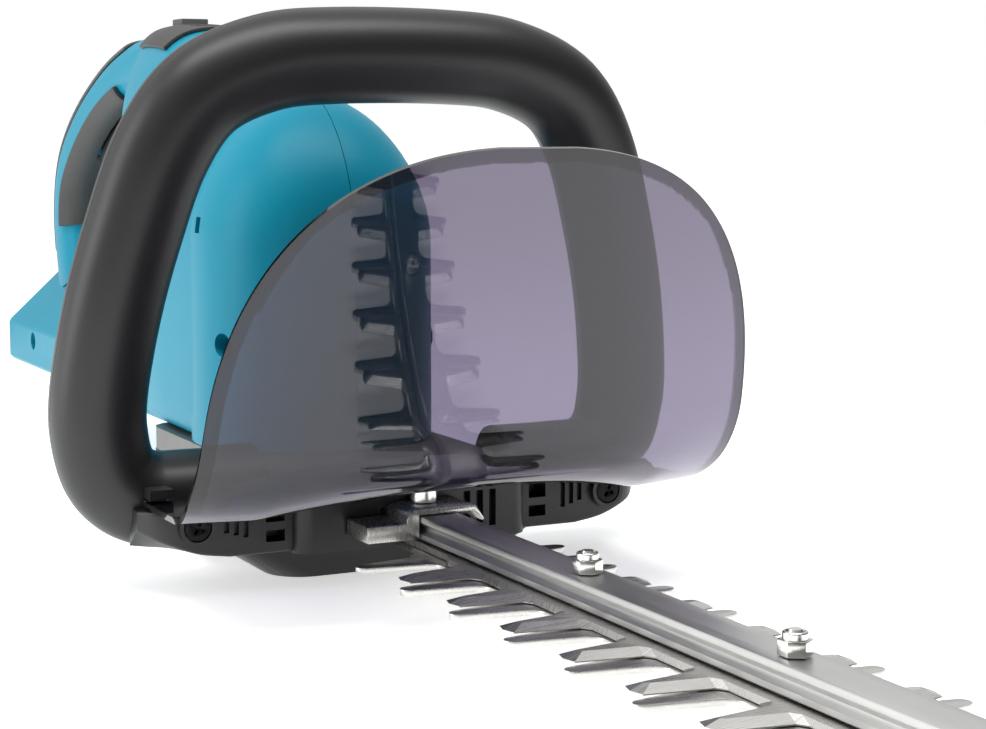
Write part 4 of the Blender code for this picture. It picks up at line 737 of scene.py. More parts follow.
def make_bracket():
    """Folded plate over the bar's rear end, with a stepped leg on its left."""
    y0, y1 = -84.0 * MM, PLINTH_FRONT_Y - 6.0 * MM
    low = BAR_TOP_Z + GAP
    thick = 2.0 * MM
    side = BAR_HALF + GAP
    leg = 4.6 * MM
    foot_z = BAR_Z + 0.3 * MM
    foot_top = foot_z + 5.6 * MM
    section = [
        (side, low),
        (13.0 * MM, low),
        (16.0 * MM, low - 3.6 * MM),
        (17.0 * MM, low - 3.2 * MM),
        (13.6 * MM, low + thick),
        (-side - 1.6 * MM, low + thick),
        (-side - leg + 0.8 * MM, low + thick - 1.4 * MM),
        (-side - leg, low - MM),
        (-side - leg, foot_top),
        (-26.5 * MM, foot_top),
        (-26.5 * MM, foot_z),
        (-side, foot_z),
        (-side, low),
    ]
    bracket = loft("bracket", [[(x, y, z) for x, z in section] for y in (y0, y1)])
    hole = ((0, BRACKET_BOLT_Y, low - MM), (0, BRACKET_BOLT_Y, low + thick + MM))
    cut(bracket, rod("bracket_hole", BOLT_RADIUS + GAP, *hole, sides=32))
    piece("pressed_bracket", bracket, SHEARED_ZINC, "body", "zinc_steel", "bar_bracket", bevel=0.35 * MM, sharp=30)
    seat = low + thick + GAP
    nut = domed_rod("bracket_nut", 4.7 * MM, BRACKET_BOLT_Y, seat, seat + 6 * MM, 0.7 * MM, 40)
    bore = ((0, BRACKET_BOLT_Y, seat - MM), (0, BRACKET_BOLT_Y, seat + 5 * MM))
    cut(nut, rod("bracket_nut_bore", BOLT_RADIUS + GAP, *bore, sides=32))
    piece("bracket_sleeve_nut", nut, ZINC_PLATE, "body", "zinc_steel", "bracket_nut", sharp=30)
    make_bolt("bracket_screw", "bracket_bolt", BRACKET_BOLT_Y, seat + 4.5 * MM)


# ---------------------------------------------------------------- under cover and gear case
def tray_rings(inset, low, high, steps=1):
    """Lower tray between two heights: narrow flat bottom with sloping sides."""
    rings = []
    for i in range(steps + 1):
        z = low + (high - low) * i / steps
        share = z / BASE_SHOULDER_Z
        half = BASE_HALF + (BASE_SHOULDER_HALF - BASE_HALF) * share - inset
        pull = 3.0 * MM * (1 - share) + inset
        plan = rounded_box((-half, BASE_FRONT_Y + pull), (half, BASE_REAR_Y - pull), 14 * MM, 12)
        rings.append([(x, y, z) for x, y in plan])
    return rings


def make_under_cover():
    """Black tray below the gear case; the tool stands on its flat bottom."""
    cover = loft("cover", tray_rings(0.0, 0.0, BASE_SHOULDER_Z))
    outer = rounded_box((-BARREL_RADIUS, PLINTH_REAR_Y + GAP), (BARREL_RADIUS, BASE_REAR_Y), 12 * MM, 10)
    join(cover, plate("tray_wall", outer, BASE_SHOULDER_Z - MM, CASE_LOW_Z - GAP))
    inner = BARREL_RADIUS - WALL
    room = rounded_box((-inner, BASE_FRONT_Y + 2 * WALL), (inner, BASE_REAR_Y - 1.6 * WALL), 10 * MM, 8)
    cut(cover, loft("tray_room", tray_rings(1.2 * WALL, WALL, BASE_SHOULDER_Z - WALL)))
    cut(cover, plate("wall_room", room, BASE_SHOULDER_Z - 2 * WALL, 30.0 * MM))
    cut(cover, slab("wall_mouth", (-inner, -60 * MM, BASE_SHOULDER_Z - GAP), (inner, -20 * MM, 30 * MM)))
    piece("black_under_cover", cover, BLACK_NYLON, "body", "black_nylon", "under_cover", bevel=0.8 * MM)


# ---------------------------------------------------------------- housing
FINE_BARREL = 120
FINE_BODY = 96
FINE_GRIP = 48
PATH_STEPS = 8


def barrel_rings(inset, sides, dome_steps):
    """Motor barrel and its dome, cut level by level."""
    rings = []
    low = HOUSING_BOTTOM_Z + (-5 * MM if inset else 0)
    levels = [(low, 1.0), (DOME_START_Z, 1.0)]
    power = 1.8
    for i in range(1, dome_steps + 1):
        share = math.sin(math.pi / 2 * i / dome_steps) * 0.992
        levels.append((DOME_START_Z + share * (DOME_HEIGHT - inset), (1 - share**power) ** (1 / power)))
    for z, share in levels:
        half = (BARREL_RADIUS - inset) * share
        rings.append([(x, y + BARREL_Y, z) for x, y in oval(half, half, 2.25, sides)])
    return rings


BODY_STATIONS = (
    (BARREL_Y, 44.6 * MM, 156.0 * MM),
    (62.0 * MM, 44.6 * MM, 172.0 * MM),
    (92.0 * MM, 44.0 * MM, 186.5 * MM),
    (124.0 * MM, 41.0 * MM, 195.0 * MM),
    (155.0 * MM, 36.0 * MM, RIDGE_Z),
    (178.0 * MM, 31.0 * MM, RIDGE_Z),
    (BODY_REAR_Y, 27.0 * MM, RIDGE_Z - 2.0 * MM),
)
BODY_TOP_POWER = 2.8
BODY_BASE_POWER = 14.0  # nearly square below
GRIP_POWER = 2.6


def body_ring(station, inset, angles):
    """Points round the body at one station, angles in radians from +X."""
    y, half, top = station
    middle = (HOUSING_BOTTOM_Z + top) / 2
    tall = (top - HOUSING_BOTTOM_Z) / 2 - inset
    points = []
    for angle in angles:
        power = BODY_BASE_POWER if math.sin(angle) < -1e-6 else BODY_TOP_POWER
        x, z = superellipse(half - inset, tall, power, angle)
        points.append((x, y, middle + z))
    return points


def body_rings(inset, sides, steps):
    """Body behind the barrel, rising to the ridge and ending at the handle's opening."""
    angles = full_turn(sides)
    stations = smooth_path(BODY_STATIONS, steps)
    rings = [body_ring(station, inset, angles) for station in stations[:-1]]
    y, half, top = stations[-1]
    rings.append(body_ring((y - inset, half, top), inset, angles))
    return rings


GRIP_KNOTS = (
    (160.0 * MM, 181.0 * MM, 14.5 * MM),
    (200.0 * MM, 182.5 * MM, 13.0 * MM),
    (236.0 * MM, 176.5 * MM, 13.0 * MM),
    (270.0 * MM, 165.5 * MM, 13.5 * MM),
    (301.5 * MM, 150.0 * MM, 15.5 * MM),
    (325.0 * MM, 132.0 * MM, 17.5 * MM),
    (333.5 * MM, 113.0 * MM, 18.5 * MM),
    (332.0 * MM, 94.0 * MM, 19.0 * MM),
    (326.0 * MM, 74.0 * MM, 20.0 * MM),
)


def grip_frames(steps=PATH_STEPS):
    """Centre, outward direction and half thickness along the handle's arch."""
    path = smooth_path(GRIP_KNOTS, steps)
    frames = []
    for i, here in enumerate(path):
        before, after = path[max(i - 1, 0)], path[min(i + 1, len(path) - 1)]
        along = Vector((after[0] - before[0], after[1] - before[1])).normalized()
        frames.append((Vector((here[0], here[1])), Vector((-along[1], along[0])), here[2]))
    return frames


def grip_ring(frame, inset, angles):
    centre, out, thick = frame
    ring = []
    for angle in angles:
        a, b = superellipse(GRIP_HALF - inset, thick - inset, GRIP_POWER, angle)
        spot = centre + out * b
        ring.append((a, spot[0], spot[1]))
    return ring


def foot_rings(inset):
    """Lower arm and battery foot: upright sides that lean in to the handle's width."""
    w, neck = FOOT_HALF - inset, FOOT_TOP_HALF - inset
    low, side, top = FOOT_BOTTOM_Z + inset, FOOT_SIDE_TOP_Z, FOOT_TOP_Z - inset
    r = 2.0 * MM
    right = [(w - r, low), (w, low + r), (w, side - 2 * MM), (w - MM, side), (neck, top - r), (neck - r, top)]
    section = right + [(-x, z) for x, z in reversed(right)]
    return [[(x, y, z) for x, z in section] for y in (FOOT_FRONT_Y, FOOT_REAR_Y - inset)]


def housing_solid(name, inset, fine):
    counts = (FINE_BARREL, 20, FINE_BODY, 6, FINE_GRIP, PATH_STEPS) if fine else (24, 6, 20, 1, 12, 2)
    barrel, dome, around, along, grip_sides, grip_steps = counts
    solid = loft(name, barrel_rings(inset, barrel, dome))
    grip = [grip_ring(part, inset, full_turn(grip_sides)) for part in grip_frames(grip_steps)]
    for part, rings in (("body", body_rings(inset, around, along)), ("grip", grip), ("foot", foot_rings(inset))):
        join(solid, loft(f"{name}_{part}", rings))
    return solid


def screw_bosses(name, side):
    """Pillars that the housing screws run through, reaching the middle plane."""
    pillars = []
    for index, (y, z, half) in enumerate(HOUSING_SCREWS):
        ends = ((-side * 2 * MM, y, z), (side * (half - 1.2 * MM), y, z))
        pillars.append(rod(f"{name}_boss_{index}", 5.2 * MM, *ends, sides=10))
    return pillars


def slide_walls(name):
    """Ceiling and side walls of the battery slide, inside the foot."""
    top = FOOT_BOTTOM_Z + SLIDE_DEPTH
    half = SLIDE_HALF + WALL
    low = (-half, SLIDE_FRONT_Y - WALL, FOOT_BOTTOM_Z + MM)
    return [slab(f"{name}_slide_box", low, (half, FOOT_REAR_Y - MM, top + WALL))]


def slide_cutters(name):
    """The slide itself, with a groove along each side that the battery's rails run in."""
    top = FOOT_BOTTOM_Z + SLIDE_DEPTH
    far = FOOT_REAR_Y + 9 * MM
    lip = 4.0 * MM
    throat = slab(f"{name}_throat", (-SLIDE_HALF + lip, SLIDE_FRONT_Y, 0), (SLIDE_HALF - lip, far, top))
    groove = slab(
        f"{name}_groove", (-SLIDE_HALF, SLIDE_FRONT_Y, FOOT_BOTTOM_Z + 4 * MM), (SLIDE_HALF, far, top - 0.2 * MM)
    )
    return throat, groove


def grown(box, margin):
    """A box's corners moved out by a margin."""
    low, high = (Vector(corner) for corner in box)
    step = Vector((margin, margin, margin))
    return low - step, high + step


def side_prism(name, outline, half, material=None):
    """A piece drawn in side view (y, z) and given a width in X."""
    rings = [[(x, y, z) for y, z in outline] for x in (-half, half)]
    return loft(name, rings, material)


def trigger_pin_hole(name):
    y, z = TRIGGER_PIVOT
    reach = TRIGGER_PIN_REACH + GAP
    return rod(name, TRIGGER_PIN_RADIUS + GAP, (-reach, y, z), (reach, y, z), None, 12)


def half_shell(name):
    """The left clamshell's bare shell, with its pillars."""
    shell = housing_solid(name, 0.0, True)
    cut(shell, housing_solid(f"{name}_room", WALL, False))
    join(shell, *screw_bosses(name, -1))
    join(shell, *slide_walls(name))
    big = 500 * MM
    keep_inside(shell, slab(f"{name}_half", (-90 * MM, -big, 0), (-0.5 * GAP, big, big)))
    mesh = tidy_mesh(evaluated_mesh(shell))
    return link(name, mesh)


def make_housing():
    """Two clamshells that meet on the middle plane, and the screws that hold them."""
    left = half_shell("shell_left")
    right = mirrored_shape("shell_right", left)
    for side, word, shell in ((-1, "left", left), (1, "right", right)):
        name = f"shell_{word}"
        cut(shell, *slide_cutters(name))
        cut(shell, side_prism(f"{name}_trigger_slot", TRIGGER_SLOT, 9.3 * MM))
        cut(shell, slab(f"{name}_button_slot", *grown(LOCK_OFF_BOX, GAP)))
        cut(shell, trigger_pin_hole(f"{name}_pin_hole"))
        for index, (y, z, half) in enumerate(HOUSING_SCREWS):
            deep = SCREW_SINK + 2 * GAP
            cut(shell, rod(f"{name}_pilot_{index}", 2.3 * MM, (0, y, z), (side * (half - 4 * MM), y, z), None, 12))
            if side < 0:
                ends = ((-half - 3 * MM, y, z), (-half + deep, y, z))
                cut(shell, rod(f"{name}_sink_{index}", 4.35 * MM, *ends, sides=40))
        slot_y, slot_z = 32.5 * MM, 119.0 * MM
        low = (side * 41.5 * MM, slot_y - 2.4 * MM, slot_z - 3 * MM)
        high = (side * 60 * MM, slot_y + 2.4 * MM, slot_z + 3 * MM)
        cut(shell, slab(f"{name}_side_slot", tuple(map(min, low, high)), tuple(map(max, low, high))))
        piece(f"teal_shell_{word}", shell, TEAL_NYLON, "body", "teal_nylon", f"housing_{word}", sharp=28)
    for index, (y, z, half) in enumerate(HOUSING_SCREWS, 1):
        seat = -half + SCREW_SINK
        head = rod(f"shell_screw_{index}", 3.8 * MM, (seat - 2.4 * MM, y, z), (seat, y, z), None, 40)
        join(head, rod(f"shell_shank_{index}", 2.0 * MM, (seat - MM, y, z), (20 * MM, y, z), None, 24))
        for turn in range(2):
            arm = slab(f"shell_cross_{index}_{turn}", (-1.6 * MM, -2.2 * MM, -0.5 * MM), (0.4 * MM, 2.2 * MM, 0.5 * MM))
            arm.location = (seat - 2.2 * MM, y, z)
            arm.rotation_euler = (math.pi / 2 * turn + 0.4, 0, 0)
            cut(head, arm)
        piece(f"shell_screw_{index}", head, BLACK_OXIDE, "body", "zinc_steel", f"housing_screw_{index}", bevel=0.2 * MM)


def layer_rings(ring_at, stations, inner, outer, start, end, steps):
    """Closed strip sections between two offsets of a surface, over part of its turn."""
    sweep = [math.radians(start + (end - start) * i / steps) for i in range(steps + 1)]
    back = list(reversed(sweep))
    return [ring_at(station, -outer, sweep) + ring_at(station, -inner, back) for station in stations]


def make_grip_covers():
    """Soft covers: one on the handle's back, one lining its opening, one over the ridge."""
    frames = grip_frames()
    pad = loft("pad", layer_rings(grip_ring, frames[12:57], GAP, 1.6 * MM, 40, 140, 28))
    piece("soft_back_pad", pad, GREY_ELASTOMER, "body", "grey_rubber", "grip_pad", bevel=0.5 * MM)
    lining = loft("lining", layer_rings(grip_ring, frames[14:53], GAP, 2.2 * MM, 197, 343, 36))
    cut(lining, side_prism("lining_trigger_slot", TRIGGER_SLOT, 9.3 * MM))
    # the lining's darker grey is painted shade of the handle's opening
    piece("soft_grip_lining", lining, DARK_ELASTOMER, "body", "grey_rubber", "grip_lining", bevel=0.5 * MM)
    stations = smooth_path(BODY_STATIONS[3:6], 8)
    cover = loft("panel", layer_rings(body_ring, stations, GAP, 1.5 * MM, 58, 122, 32))
    for index in range(4):
        y = 134 * MM + index * 7 * MM
        cut(cover, slab(f"panel_slot_{index}", (-9 * MM, y, 180 * MM), (9 * MM, y + 3 * MM, 210 * MM)))
    cut(cover, slab("panel_button_slot", *grown(LOCK_OFF_BOX, GAP)))
    piece("soft_ridge_panel", cover, DARK_ELASTOMER, "body", "grey_rubber", "top_panel", bevel=0.4 * MM)


# ---------------------------------------------------------------- controls
def make_controls():
    """Trigger with rounded edges, and the ribbed lock-off button."""
    corners = [Vector((y, z)) for y, z in TRIGGER_OUTLINE]
    trigger = side_prism("trigger", [tuple(c) for c in corners], 8.4 * MM)
    cut(trigger, trigger_pin_hole("trigger_bore"))
    piece("trigger_lever", trigger, BLACK_NYLON, "trigger_body", "black_nylon", "trigger", bevel=1.3 * MM, sharp=50)
    (x0, y0, z0), (x1, y1, z1) = LOCK_OFF_BOX
    button = slab("button", (x0, y0, z0), (x1, y1, z1))
    for index in range(3):
        y = y0 + 3.2 * MM + index * 3.0 * MM
        cut(button, slab(f"button_rib_{index}", (x0 - MM, y, z1 - 0.7 * MM), (x1 + MM, y + 1.1 * MM, z1 + MM)))
    piece("ribbed_lock_off", button, GREY_ELASTOMER, "lock_off_body", "grey_rubber", "lock_off_button", bevel=0.5 * MM)


# ---------------------------------------------------------------- loop handle
FINE_LOOP_SIDES = 24
FINE_LOOP_STEPS = 8

def loop_axes():
    """Up along the loop's plane, and the plane's normal towards the blades."""
    up = Vector((0, -math.sin(LOOP_LEAN), math.cos(LOOP_LEAN)))
    front = Vector((0, -math.cos(LOOP_LEAN), -math.sin(LOOP_LEAN)))
    return up, front


def loop_point(x, z, forward=0.0):
    return Vector((x, LOOP_FOOT_Y - z * math.tan(LOOP_LEAN) - forward, z))


LOOP_KNOTS = (
    (LOOP_GATE, LOOP_BOTTOM_Z, 5.0 * MM),
    (70.0 * MM, LOOP_BOTTOM_Z, 5.0 * MM),
    (86.5 * MM, 30.0 * MM, 4.5 * MM),
    (97.0 * MM, 37.8 * MM, 3.0 * MM),
    (101.2 * MM, 51.5 * MM, 1.0 * MM),
    (101.3 * MM, 68.0 * MM, 0.0),
    (97.1 * MM, 95.0 * MM, 0.0),
    (90.2 * MM, 122.0 * MM, 0.0),
    (81.2 * MM, 148.0 * MM, 0.0),
    (67.6 * MM, 167.0 * MM, 0.0),
    (45.5 * MM, 177.0 * MM, 0.0),
    (20.0 * MM, LOOP_TOP_Z, 0.0),
)


def loop_path(steps):
    """Centreline from the left foot over the top to the right foot."""
    knots = [loop_point(-x, z, forward) for x, z, forward in LOOP_KNOTS]
    knots += [loop_point(x, z, forward) for x, z, forward in reversed(LOOP_KNOTS)]
    return smooth_path(knots, steps)


def loop_sections(path, section, offset, side):
    """Rings of a section (radius, angle) swept along the loop, in front of or behind its plane."""
    _, front = loop_axes()
    facing = front * side
    rings = []
    for i, here in enumerate(path):
        along = (path[min(i + 1, len(path) - 1)] - path[max(i - 1, 0)]).normalized()
        across = along.cross(front)
        base = here + facing * offset
        rings.append([base + across * (r * math.cos(a)) + facing * (r * math.sin(a)) for r, a in section])
    return rings


def loop_half(name, side):
    """One moulded half: a C-shaped channel swept along the loop."""
    outer = [math.pi * i / FINE_LOOP_SIDES for i in range(FINE_LOOP_SIDES + 1)]
    inner = [math.pi * i / LOOP_SIDES for i in range(LOOP_SIDES, -1, -1)]
    section = [(LOOP_RADIUS, a) for a in outer] + [(LOOP_RADIUS - LOOP_WALL, a) for a in inner]
    return loft(name, loop_sections(loop_path(FINE_LOOP_STEPS), section, 0.5 * GAP, side))


PLINTH_STATIONS = (
    (66.0 * MM, -60.0 * MM, 12.6 * MM, 29.8 * MM),
    (76.0 * MM, -60.0 * MM, 14.2 * MM, 29.8 * MM),
    (84.0 * MM, -59.5 * MM, 17.0 * MM, 29.8 * MM),
    (90.0 * MM, -57.0 * MM, 19.5 * MM, 29.5 * MM),
    (95.0 * MM, -50.5 * MM, 22.0 * MM, 29.0 * MM),
)


def plinth_rings():
    """Foot's sections (y, z) from the left end to the right end."""
    right = smooth_path(PLINTH_STATIONS, 6)
    stations = [(-x, *rest) for x, *rest in reversed(right)] + [tuple(s) for s in right]
    rings = []
    for x, front, low, high in stations:
        r = min(1.6 * MM, (high - low) / 4)
        back = 0.35 * low + 0.65 * PLINTH_STATIONS[0][2]
        section = [(PLINTH_REAR_Y, back)] + arc((front + r, low + r), r, 270, 180, 5)
        section += arc((front + r, high - r), r, 180, 90, 5) + [(PLINTH_REAR_Y, high)]
        rings.append([(x, y, z) for y, z in section])
    return rings


def loop_core(name):
    """Everything inside the rear half's outer skin, behind the split."""
    turns = [math.pi * i / FINE_LOOP_SIDES for i in range(FINE_LOOP_SIDES + 1)]
    section = [(LOOP_RADIUS - 0.5 * LOOP_WALL, a) for a in turns]
    return loft(name, loop_sections(loop_path(FINE_LOOP_STEPS), section, 0.5 * GAP, -1))


def nose_outline():
    """Plan of the bulge in the middle of the foot."""
    front = PLINTH_FRONT_Y
    r = 6.0 * MM
    right = [(NOSE_HALF, CASE_FRONT_Y - 2 * GAP)] + arc((NOSE_HALF - r, front + r - 5 * MM), r, 0, -90, 8)
    return right + [(-x, y) for x, y in reversed(right)]


def cross_recess(head, name, x, y, z):
    """A cross-shaped driver recess in a screw head that faces -Y."""
    for turn in range(2):
        arm = slab(f"{name}_arm_{turn}", (-2.5 * MM, -0.6 * MM, -0.55 * MM), (2.5 * MM, 1.5 * MM, 0.55 * MM))
        arm.location = (x, y, z)
        arm.rotation_euler = (0, math.pi / 2 * turn + 0.5, 0)
        cut(head, arm)


def make_loop_handle():
    """Front half with the foot that carries guard and bar, and the rear half with the switch lever."""
    front_half = loop_half("loop_front", 1)
    rear_y = PLINTH_REAR_Y
    join(front_half, loft("plinth", plinth_rings()))
    join(front_half, plate("plinth_nose", nose_outline(), PLINTH_BOTTOM_Z, NOSE_TOP_Z))
    for side, word in ((-1, "left"), (1, "right")):
        x, z = side * HANDLE_SCREW_X, HANDLE_SCREW_Z
        rim_y = PLINTH_FRONT_Y - 2.4 * MM
        boss = rod(f"boss_{word}", 6.3 * MM, (x, rim_y, z), (x, rear_y - MM, z), None, 48)
        join(front_half, boss)
        lug_x = x + side * 9.4 * MM
        lug_low = GUARD_FLANGE_Z + GUARD_THICK / 2 + 2 * GAP
        lug = slab(f"lug_{word}", (lug_x - 4 * MM, -53.3 * MM, lug_low), (lug_x + 4 * MM, -37 * MM, lug_low + 3.4 * MM))
        join(front_half, lug)
        seat = PLINTH_FRONT_Y + 0.4 * MM
        cut(front_half, rod(f"recess_{word}", 4.9 * MM, (x, PLINTH_FRONT_Y - 4 * MM, z), (x, seat, z), None, 40))
        cut(front_half, rod(f"pilot_{word}", 2.3 * MM, (x, seat - MM, z), (x, SCREW_END_Y + MM, z), None, 16))
        head = rod(f"foot_screw_{word}", 4.4 * MM, (x, seat - 2.6 * MM, z), (x, seat - GAP, z), None, 40, 4.4 * MM)
        join(head, rod(f"foot_shank_{word}", 2.0 * MM, (x, seat - MM, z), (x, SCREW_END_Y, z), None, 24))
        cross_recess(head, f"foot_cross_{word}", x, seat - 2.6 * MM, z)
        piece(f"foot_screw_{word}", head, BLACK_OXIDE, "body", "zinc_steel", f"handle_screw_{word}", bevel=0.4 * MM)
        for index, (z0, z1) in enumerate(((16.6 * MM, 20.6 * MM), (23.4 * MM, 28.4 * MM))):
            hole_x = side * 50 * MM
            low = (hole_x - 3.4 * MM, PLINTH_FRONT_Y - 6 * MM, z0)
            cut(front_half, slab(f"vent_{word}_{index}", low, (hole_x + 3.4 * MM, PLINTH_FRONT_Y + 8 * MM, z1)))
        for index in range(3):
            rib_x = side * (60.5 + 3.4 * index) * MM
            low = (rib_x - 0.9 * MM, PLINTH_FRONT_Y - 1 * MM, 19 * MM + index * MM)
            cut(front_half, slab(f"slit_{word}_{index}", low, (rib_x + 0.9 * MM, PLINTH_FRONT_Y + 2 * MM, 28.2 * MM)))
    for index, slot_x in enumerate((19.5 * MM, 24.5 * MM, 29.5 * MM)):
        low = (slot_x - 1.3 * MM, PLINTH_FRONT_Y - 7 * MM, 16 * MM)
        cut(front_half, slab(f"scoop_{index}", low, (slot_x + 1.3 * MM, PLINTH_FRONT_Y - 1.5 * MM, 29 * MM)))
    passage = slab(
        "bar_passage", (-BAR_PASSAGE_HALF, -90 * MM, 5 * MM), (BAR_PASSAGE_HALF, rear_y + 9 * MM, BAR_TOP_Z + GAP)
    )
    case_room = slab("case_room", (-45.4 * MM, CASE_FRONT_Y - GAP, 25.7 * MM), (45.4 * MM, 0, 50 * MM))
    cut(front_half, passage, case_room)
    piece("black_loop_front", front_half, BLACK_NYLON, "body", "black_nylon", "loop_handle_front", sharp=28)
    rear_half = loop_half("loop_rear", -1)
    for side, word in ((-1, "left"), (1, "right")):
        x, z = side * HANDLE_SCREW_X, HANDLE_SCREW_Z
        post = rod(f"rear_post_{word}", 4.6 * MM, (x, SCREW_END_Y - 6 * MM, z), (x, -20 * MM, z), None, 16)
        keep_inside(post, loop_core(f"rear_post_room_{word}"))
        join(rear_half, post)
        cut(rear_half, rod(f"rear_pilot_{word}", 2.3 * MM, (x, -50 * MM, z), (x, SCREW_END_Y + MM, z), None, 16))
    piece("black_loop_rear", rear_half, BLACK_NYLON, "body", "black_nylon", "loop_handle_rear", sharp=28)
    make_front_lever()


def front_lever_pivot():
    """Upper edge of the lever, where it hooks into the rear half."""
    centre = loop_point(0, LOOP_TOP_Z)
    angle = math.radians(38)
    r = LOOP_RADIUS + 2.2 * MM
    return centre[1] + r * math.cos(angle), centre[2] + r * math.sin(angle)


def make_front_lever():
    """Curved lever behind the loop's top bar that the fingers squeeze."""
    centre = loop_point(0, LOOP_TOP_Z)
    y, z = centre[1], centre[2]
    steps = 16
    sweep = [math.radians(-38 + 76 * i / steps) for i in range(steps + 1)]
    section = [(LOOP_RADIUS + 3.4 * MM, a) for a in sweep] + [(LOOP_RADIUS + 0.9 * MM, a) for a in reversed(sweep)]
    pivot = front_lever_pivot()
    turn = Matrix.Rotation(FRONT_LEVER_TRAVEL, 2)
    outline = []
    for r, a in section:
        arm = turn @ Vector((y + r * math.cos(a) - pivot[0], z + r * math.sin(a) - pivot[1]))
        outline.append((pivot[0] + arm[0], pivot[1] + arm[1]))
    lever = side_prism("lever", outline, FRONT_LEVER_HALF)
    piece("squeeze_lever", lever, BLACK_NYLON, "front_lever_body", "black_nylon", "front_switch_lever", bevel=0.7 * MM)


# ---------------------------------------------------------------- guard
def guard_profile(reach):
    """Side view of the guard at its middle, reach 0 at the flange's rear edge and 1 at the apex."""
    flange = GUARD_REAR_Y - GUARD_FOLD_Y
    turn = math.pi / 2 - GUARD_LEAN
    bend = GUARD_BEND * turn
    rise = GUARD_TOP_Z - GUARD_FLANGE_Z - GUARD_BEND * (1 - math.cos(turn))
    run = rise / math.sin(turn)
    s = reach * (flange + bend + run)
    if s <= flange:
        return GUARD_REAR_Y - s, GUARD_FLANGE_Z, s / flange
    if s <= flange + bend:
        t = (s - flange) / GUARD_BEND
        return GUARD_FOLD_Y - GUARD_BEND * math.sin(t), GUARD_FLANGE_Z + GUARD_BEND * (1 - math.cos(t)), 1.0
    rest = s - flange - bend
    y = GUARD_FOLD_Y - GUARD_BEND * math.sin(turn) - rest * math.cos(turn)
    z = GUARD_FLANGE_Z + GUARD_BEND * (1 - math.cos(turn)) + rest * math.sin(turn)
    return y, z, 1.0


def guard_half_width(z):
    """Straight sides below, a boxy round top above."""
    start = GUARD_ROUND_Z
    if z <= start:
        share = (z - GUARD_FLANGE_Z) / (start - GUARD_FLANGE_Z)
        return GUARD_HALF - (GUARD_HALF - GUARD_FLANGE_HALF) * (1 - share) ** 2
    share = min((z - start) / (GUARD_TOP_Z - start), 1.0)
    return GUARD_HALF * max(1 - share**GUARD_POWER, 0.0) ** (1 / GUARD_POWER)


GUARD_COLUMNS = 72
GUARD_ROWS = 96
GUARD_EDGE = 4.5 * MM  # width of the turned edge


def make_guard():
    """Clear shield: flange on the foot, a fold, and a bowed sheet leaning forward."""
    bm = bmesh.new()
    reaches = [math.sin(math.pi / 2 * i / GUARD_ROWS) ** 1.0 * 0.9985 for i in range(GUARD_ROWS + 1)]
    rows = []
    for reach in reaches:
        y, z, bowed = guard_profile(reach)
        half = guard_half_width(z)
        fade = max(0.0, 1 - (z - GUARD_FLANGE_Z) / (GUARD_ROUND_Z - GUARD_FLANGE_Z))
        row = []
        for i in range(GUARD_COLUMNS + 1):
            x = half * math.sin(math.pi / 2 * (2 * i / GUARD_COLUMNS - 1))
            bow = x * x / (2 * GUARD_BOW)
            arch = GUARD_ARCH * max(0.0, 1 - (x / GUARD_ARCH_HALF) ** 2) * fade
            row.append(bm.verts.new((x, y + bow * bowed, z + arch)))
        rows.append(row)
    for low, high in zip(rows, rows[1:]):
        for i in range(GUARD_COLUMNS):
            bm.faces.new((low[i], low[i + 1], high[i + 1], high[i]))
    sheet = finish_mesh("guard_sheet", bm)
    step = sheet.modifiers.new("thickness", "SOLIDIFY")
    step.thickness = GUARD_THICK
    step.offset = 0.0
    shield = piece("smoked_guard", sheet, SMOKE_GUARD, "body", "smoke_clear", "guard", bevel=0.4 * MM, sharp=60)
    shield.data.materials.append(SMOKE_EDGE)
    for face in shield.data.polygons:
        x, _, z = face.center
        if z > GUARD_ROUND_Z * 0.8 and guard_edge_distance(abs(x), z) < GUARD_EDGE:
            face.material_index = 1


def guard_edge_distance(x, z):
    """Rough distance from a point on the sheet to its outline."""
    across = guard_half_width(z) - x
    steps = 6
    up = 0.0
    for i in range(1, steps + 1):
        reach = GUARD_EDGE * 1.2 * i / steps
        if guard_half_width(min(z + reach, GUARD_TOP_Z)) < x:
            break
        up = reach
    else:
        return across
    return min(across, up)


# ---------------------------------------------------------------- CAD nodes that keep their shape
KEPT_FINISHES = {
    "black_nylon": BLACK_NYLON,
    "blade_steel": BLADE_STEEL,
    "zinc_steel": ZINC_PLATE,
    "cast_alloy": CAST_ALLOY,
    "core_steel": CORE_STEEL,
    "copper": COPPER_ALLOY,
    "teal_nylon": TEAL_NYLON,
    "grey_rubber": GREY_ELASTOMER,
    "smoke_clear": SMOKE_GUARD,
}


def finish_kept_nodes():
    """Gives each CAD node that is still shown the finish of its material slot."""
    slots = {part["node"]: part["material_slot"] for part in frame["record"]["subparts"]}
    for name, obj in frame["nodes"].items():
        if obj.hide_render:
            continue
        for slot in obj.material_slots:
            slot.material = KEPT_FINISHES[slots[name]]


# ---------------------------------------------------------------- stage
CAMERA_PLACE = Vector((-292.3 * MM, -702.5 * MM, 158.2 * MM))
CAMERA_AHEAD = Vector((0.4477, 0.8863, -0.1184))
SENSOR = 36.0
AMBIENT = 0.05
LENS = 75.1


def make_stage():
    """Pale floor that glows a little, so that shadows on it stay faint."""
    floor = slab("floor", (-30, -30, -20 * MM), (30, 30, -0.2 * MM))
    floor_mesh = evaluated_mesh(floor)
    glow = {
        "Base Color": colour("#FFFFFF"),
        "Roughness": 0.9,
        "Emission Color": colour("#FFFFFF"),
        "Emission Strength": 0.55,
    }
    material, _, _ = new_material("white_studio_floor", glow)
    floor_mesh.materials.clear()
    floor_mesh.materials.append(material)
    shown = bpy.data.objects.new("studio_floor", floor_mesh)
    bpy.context.scene.collection.objects.link(shown)


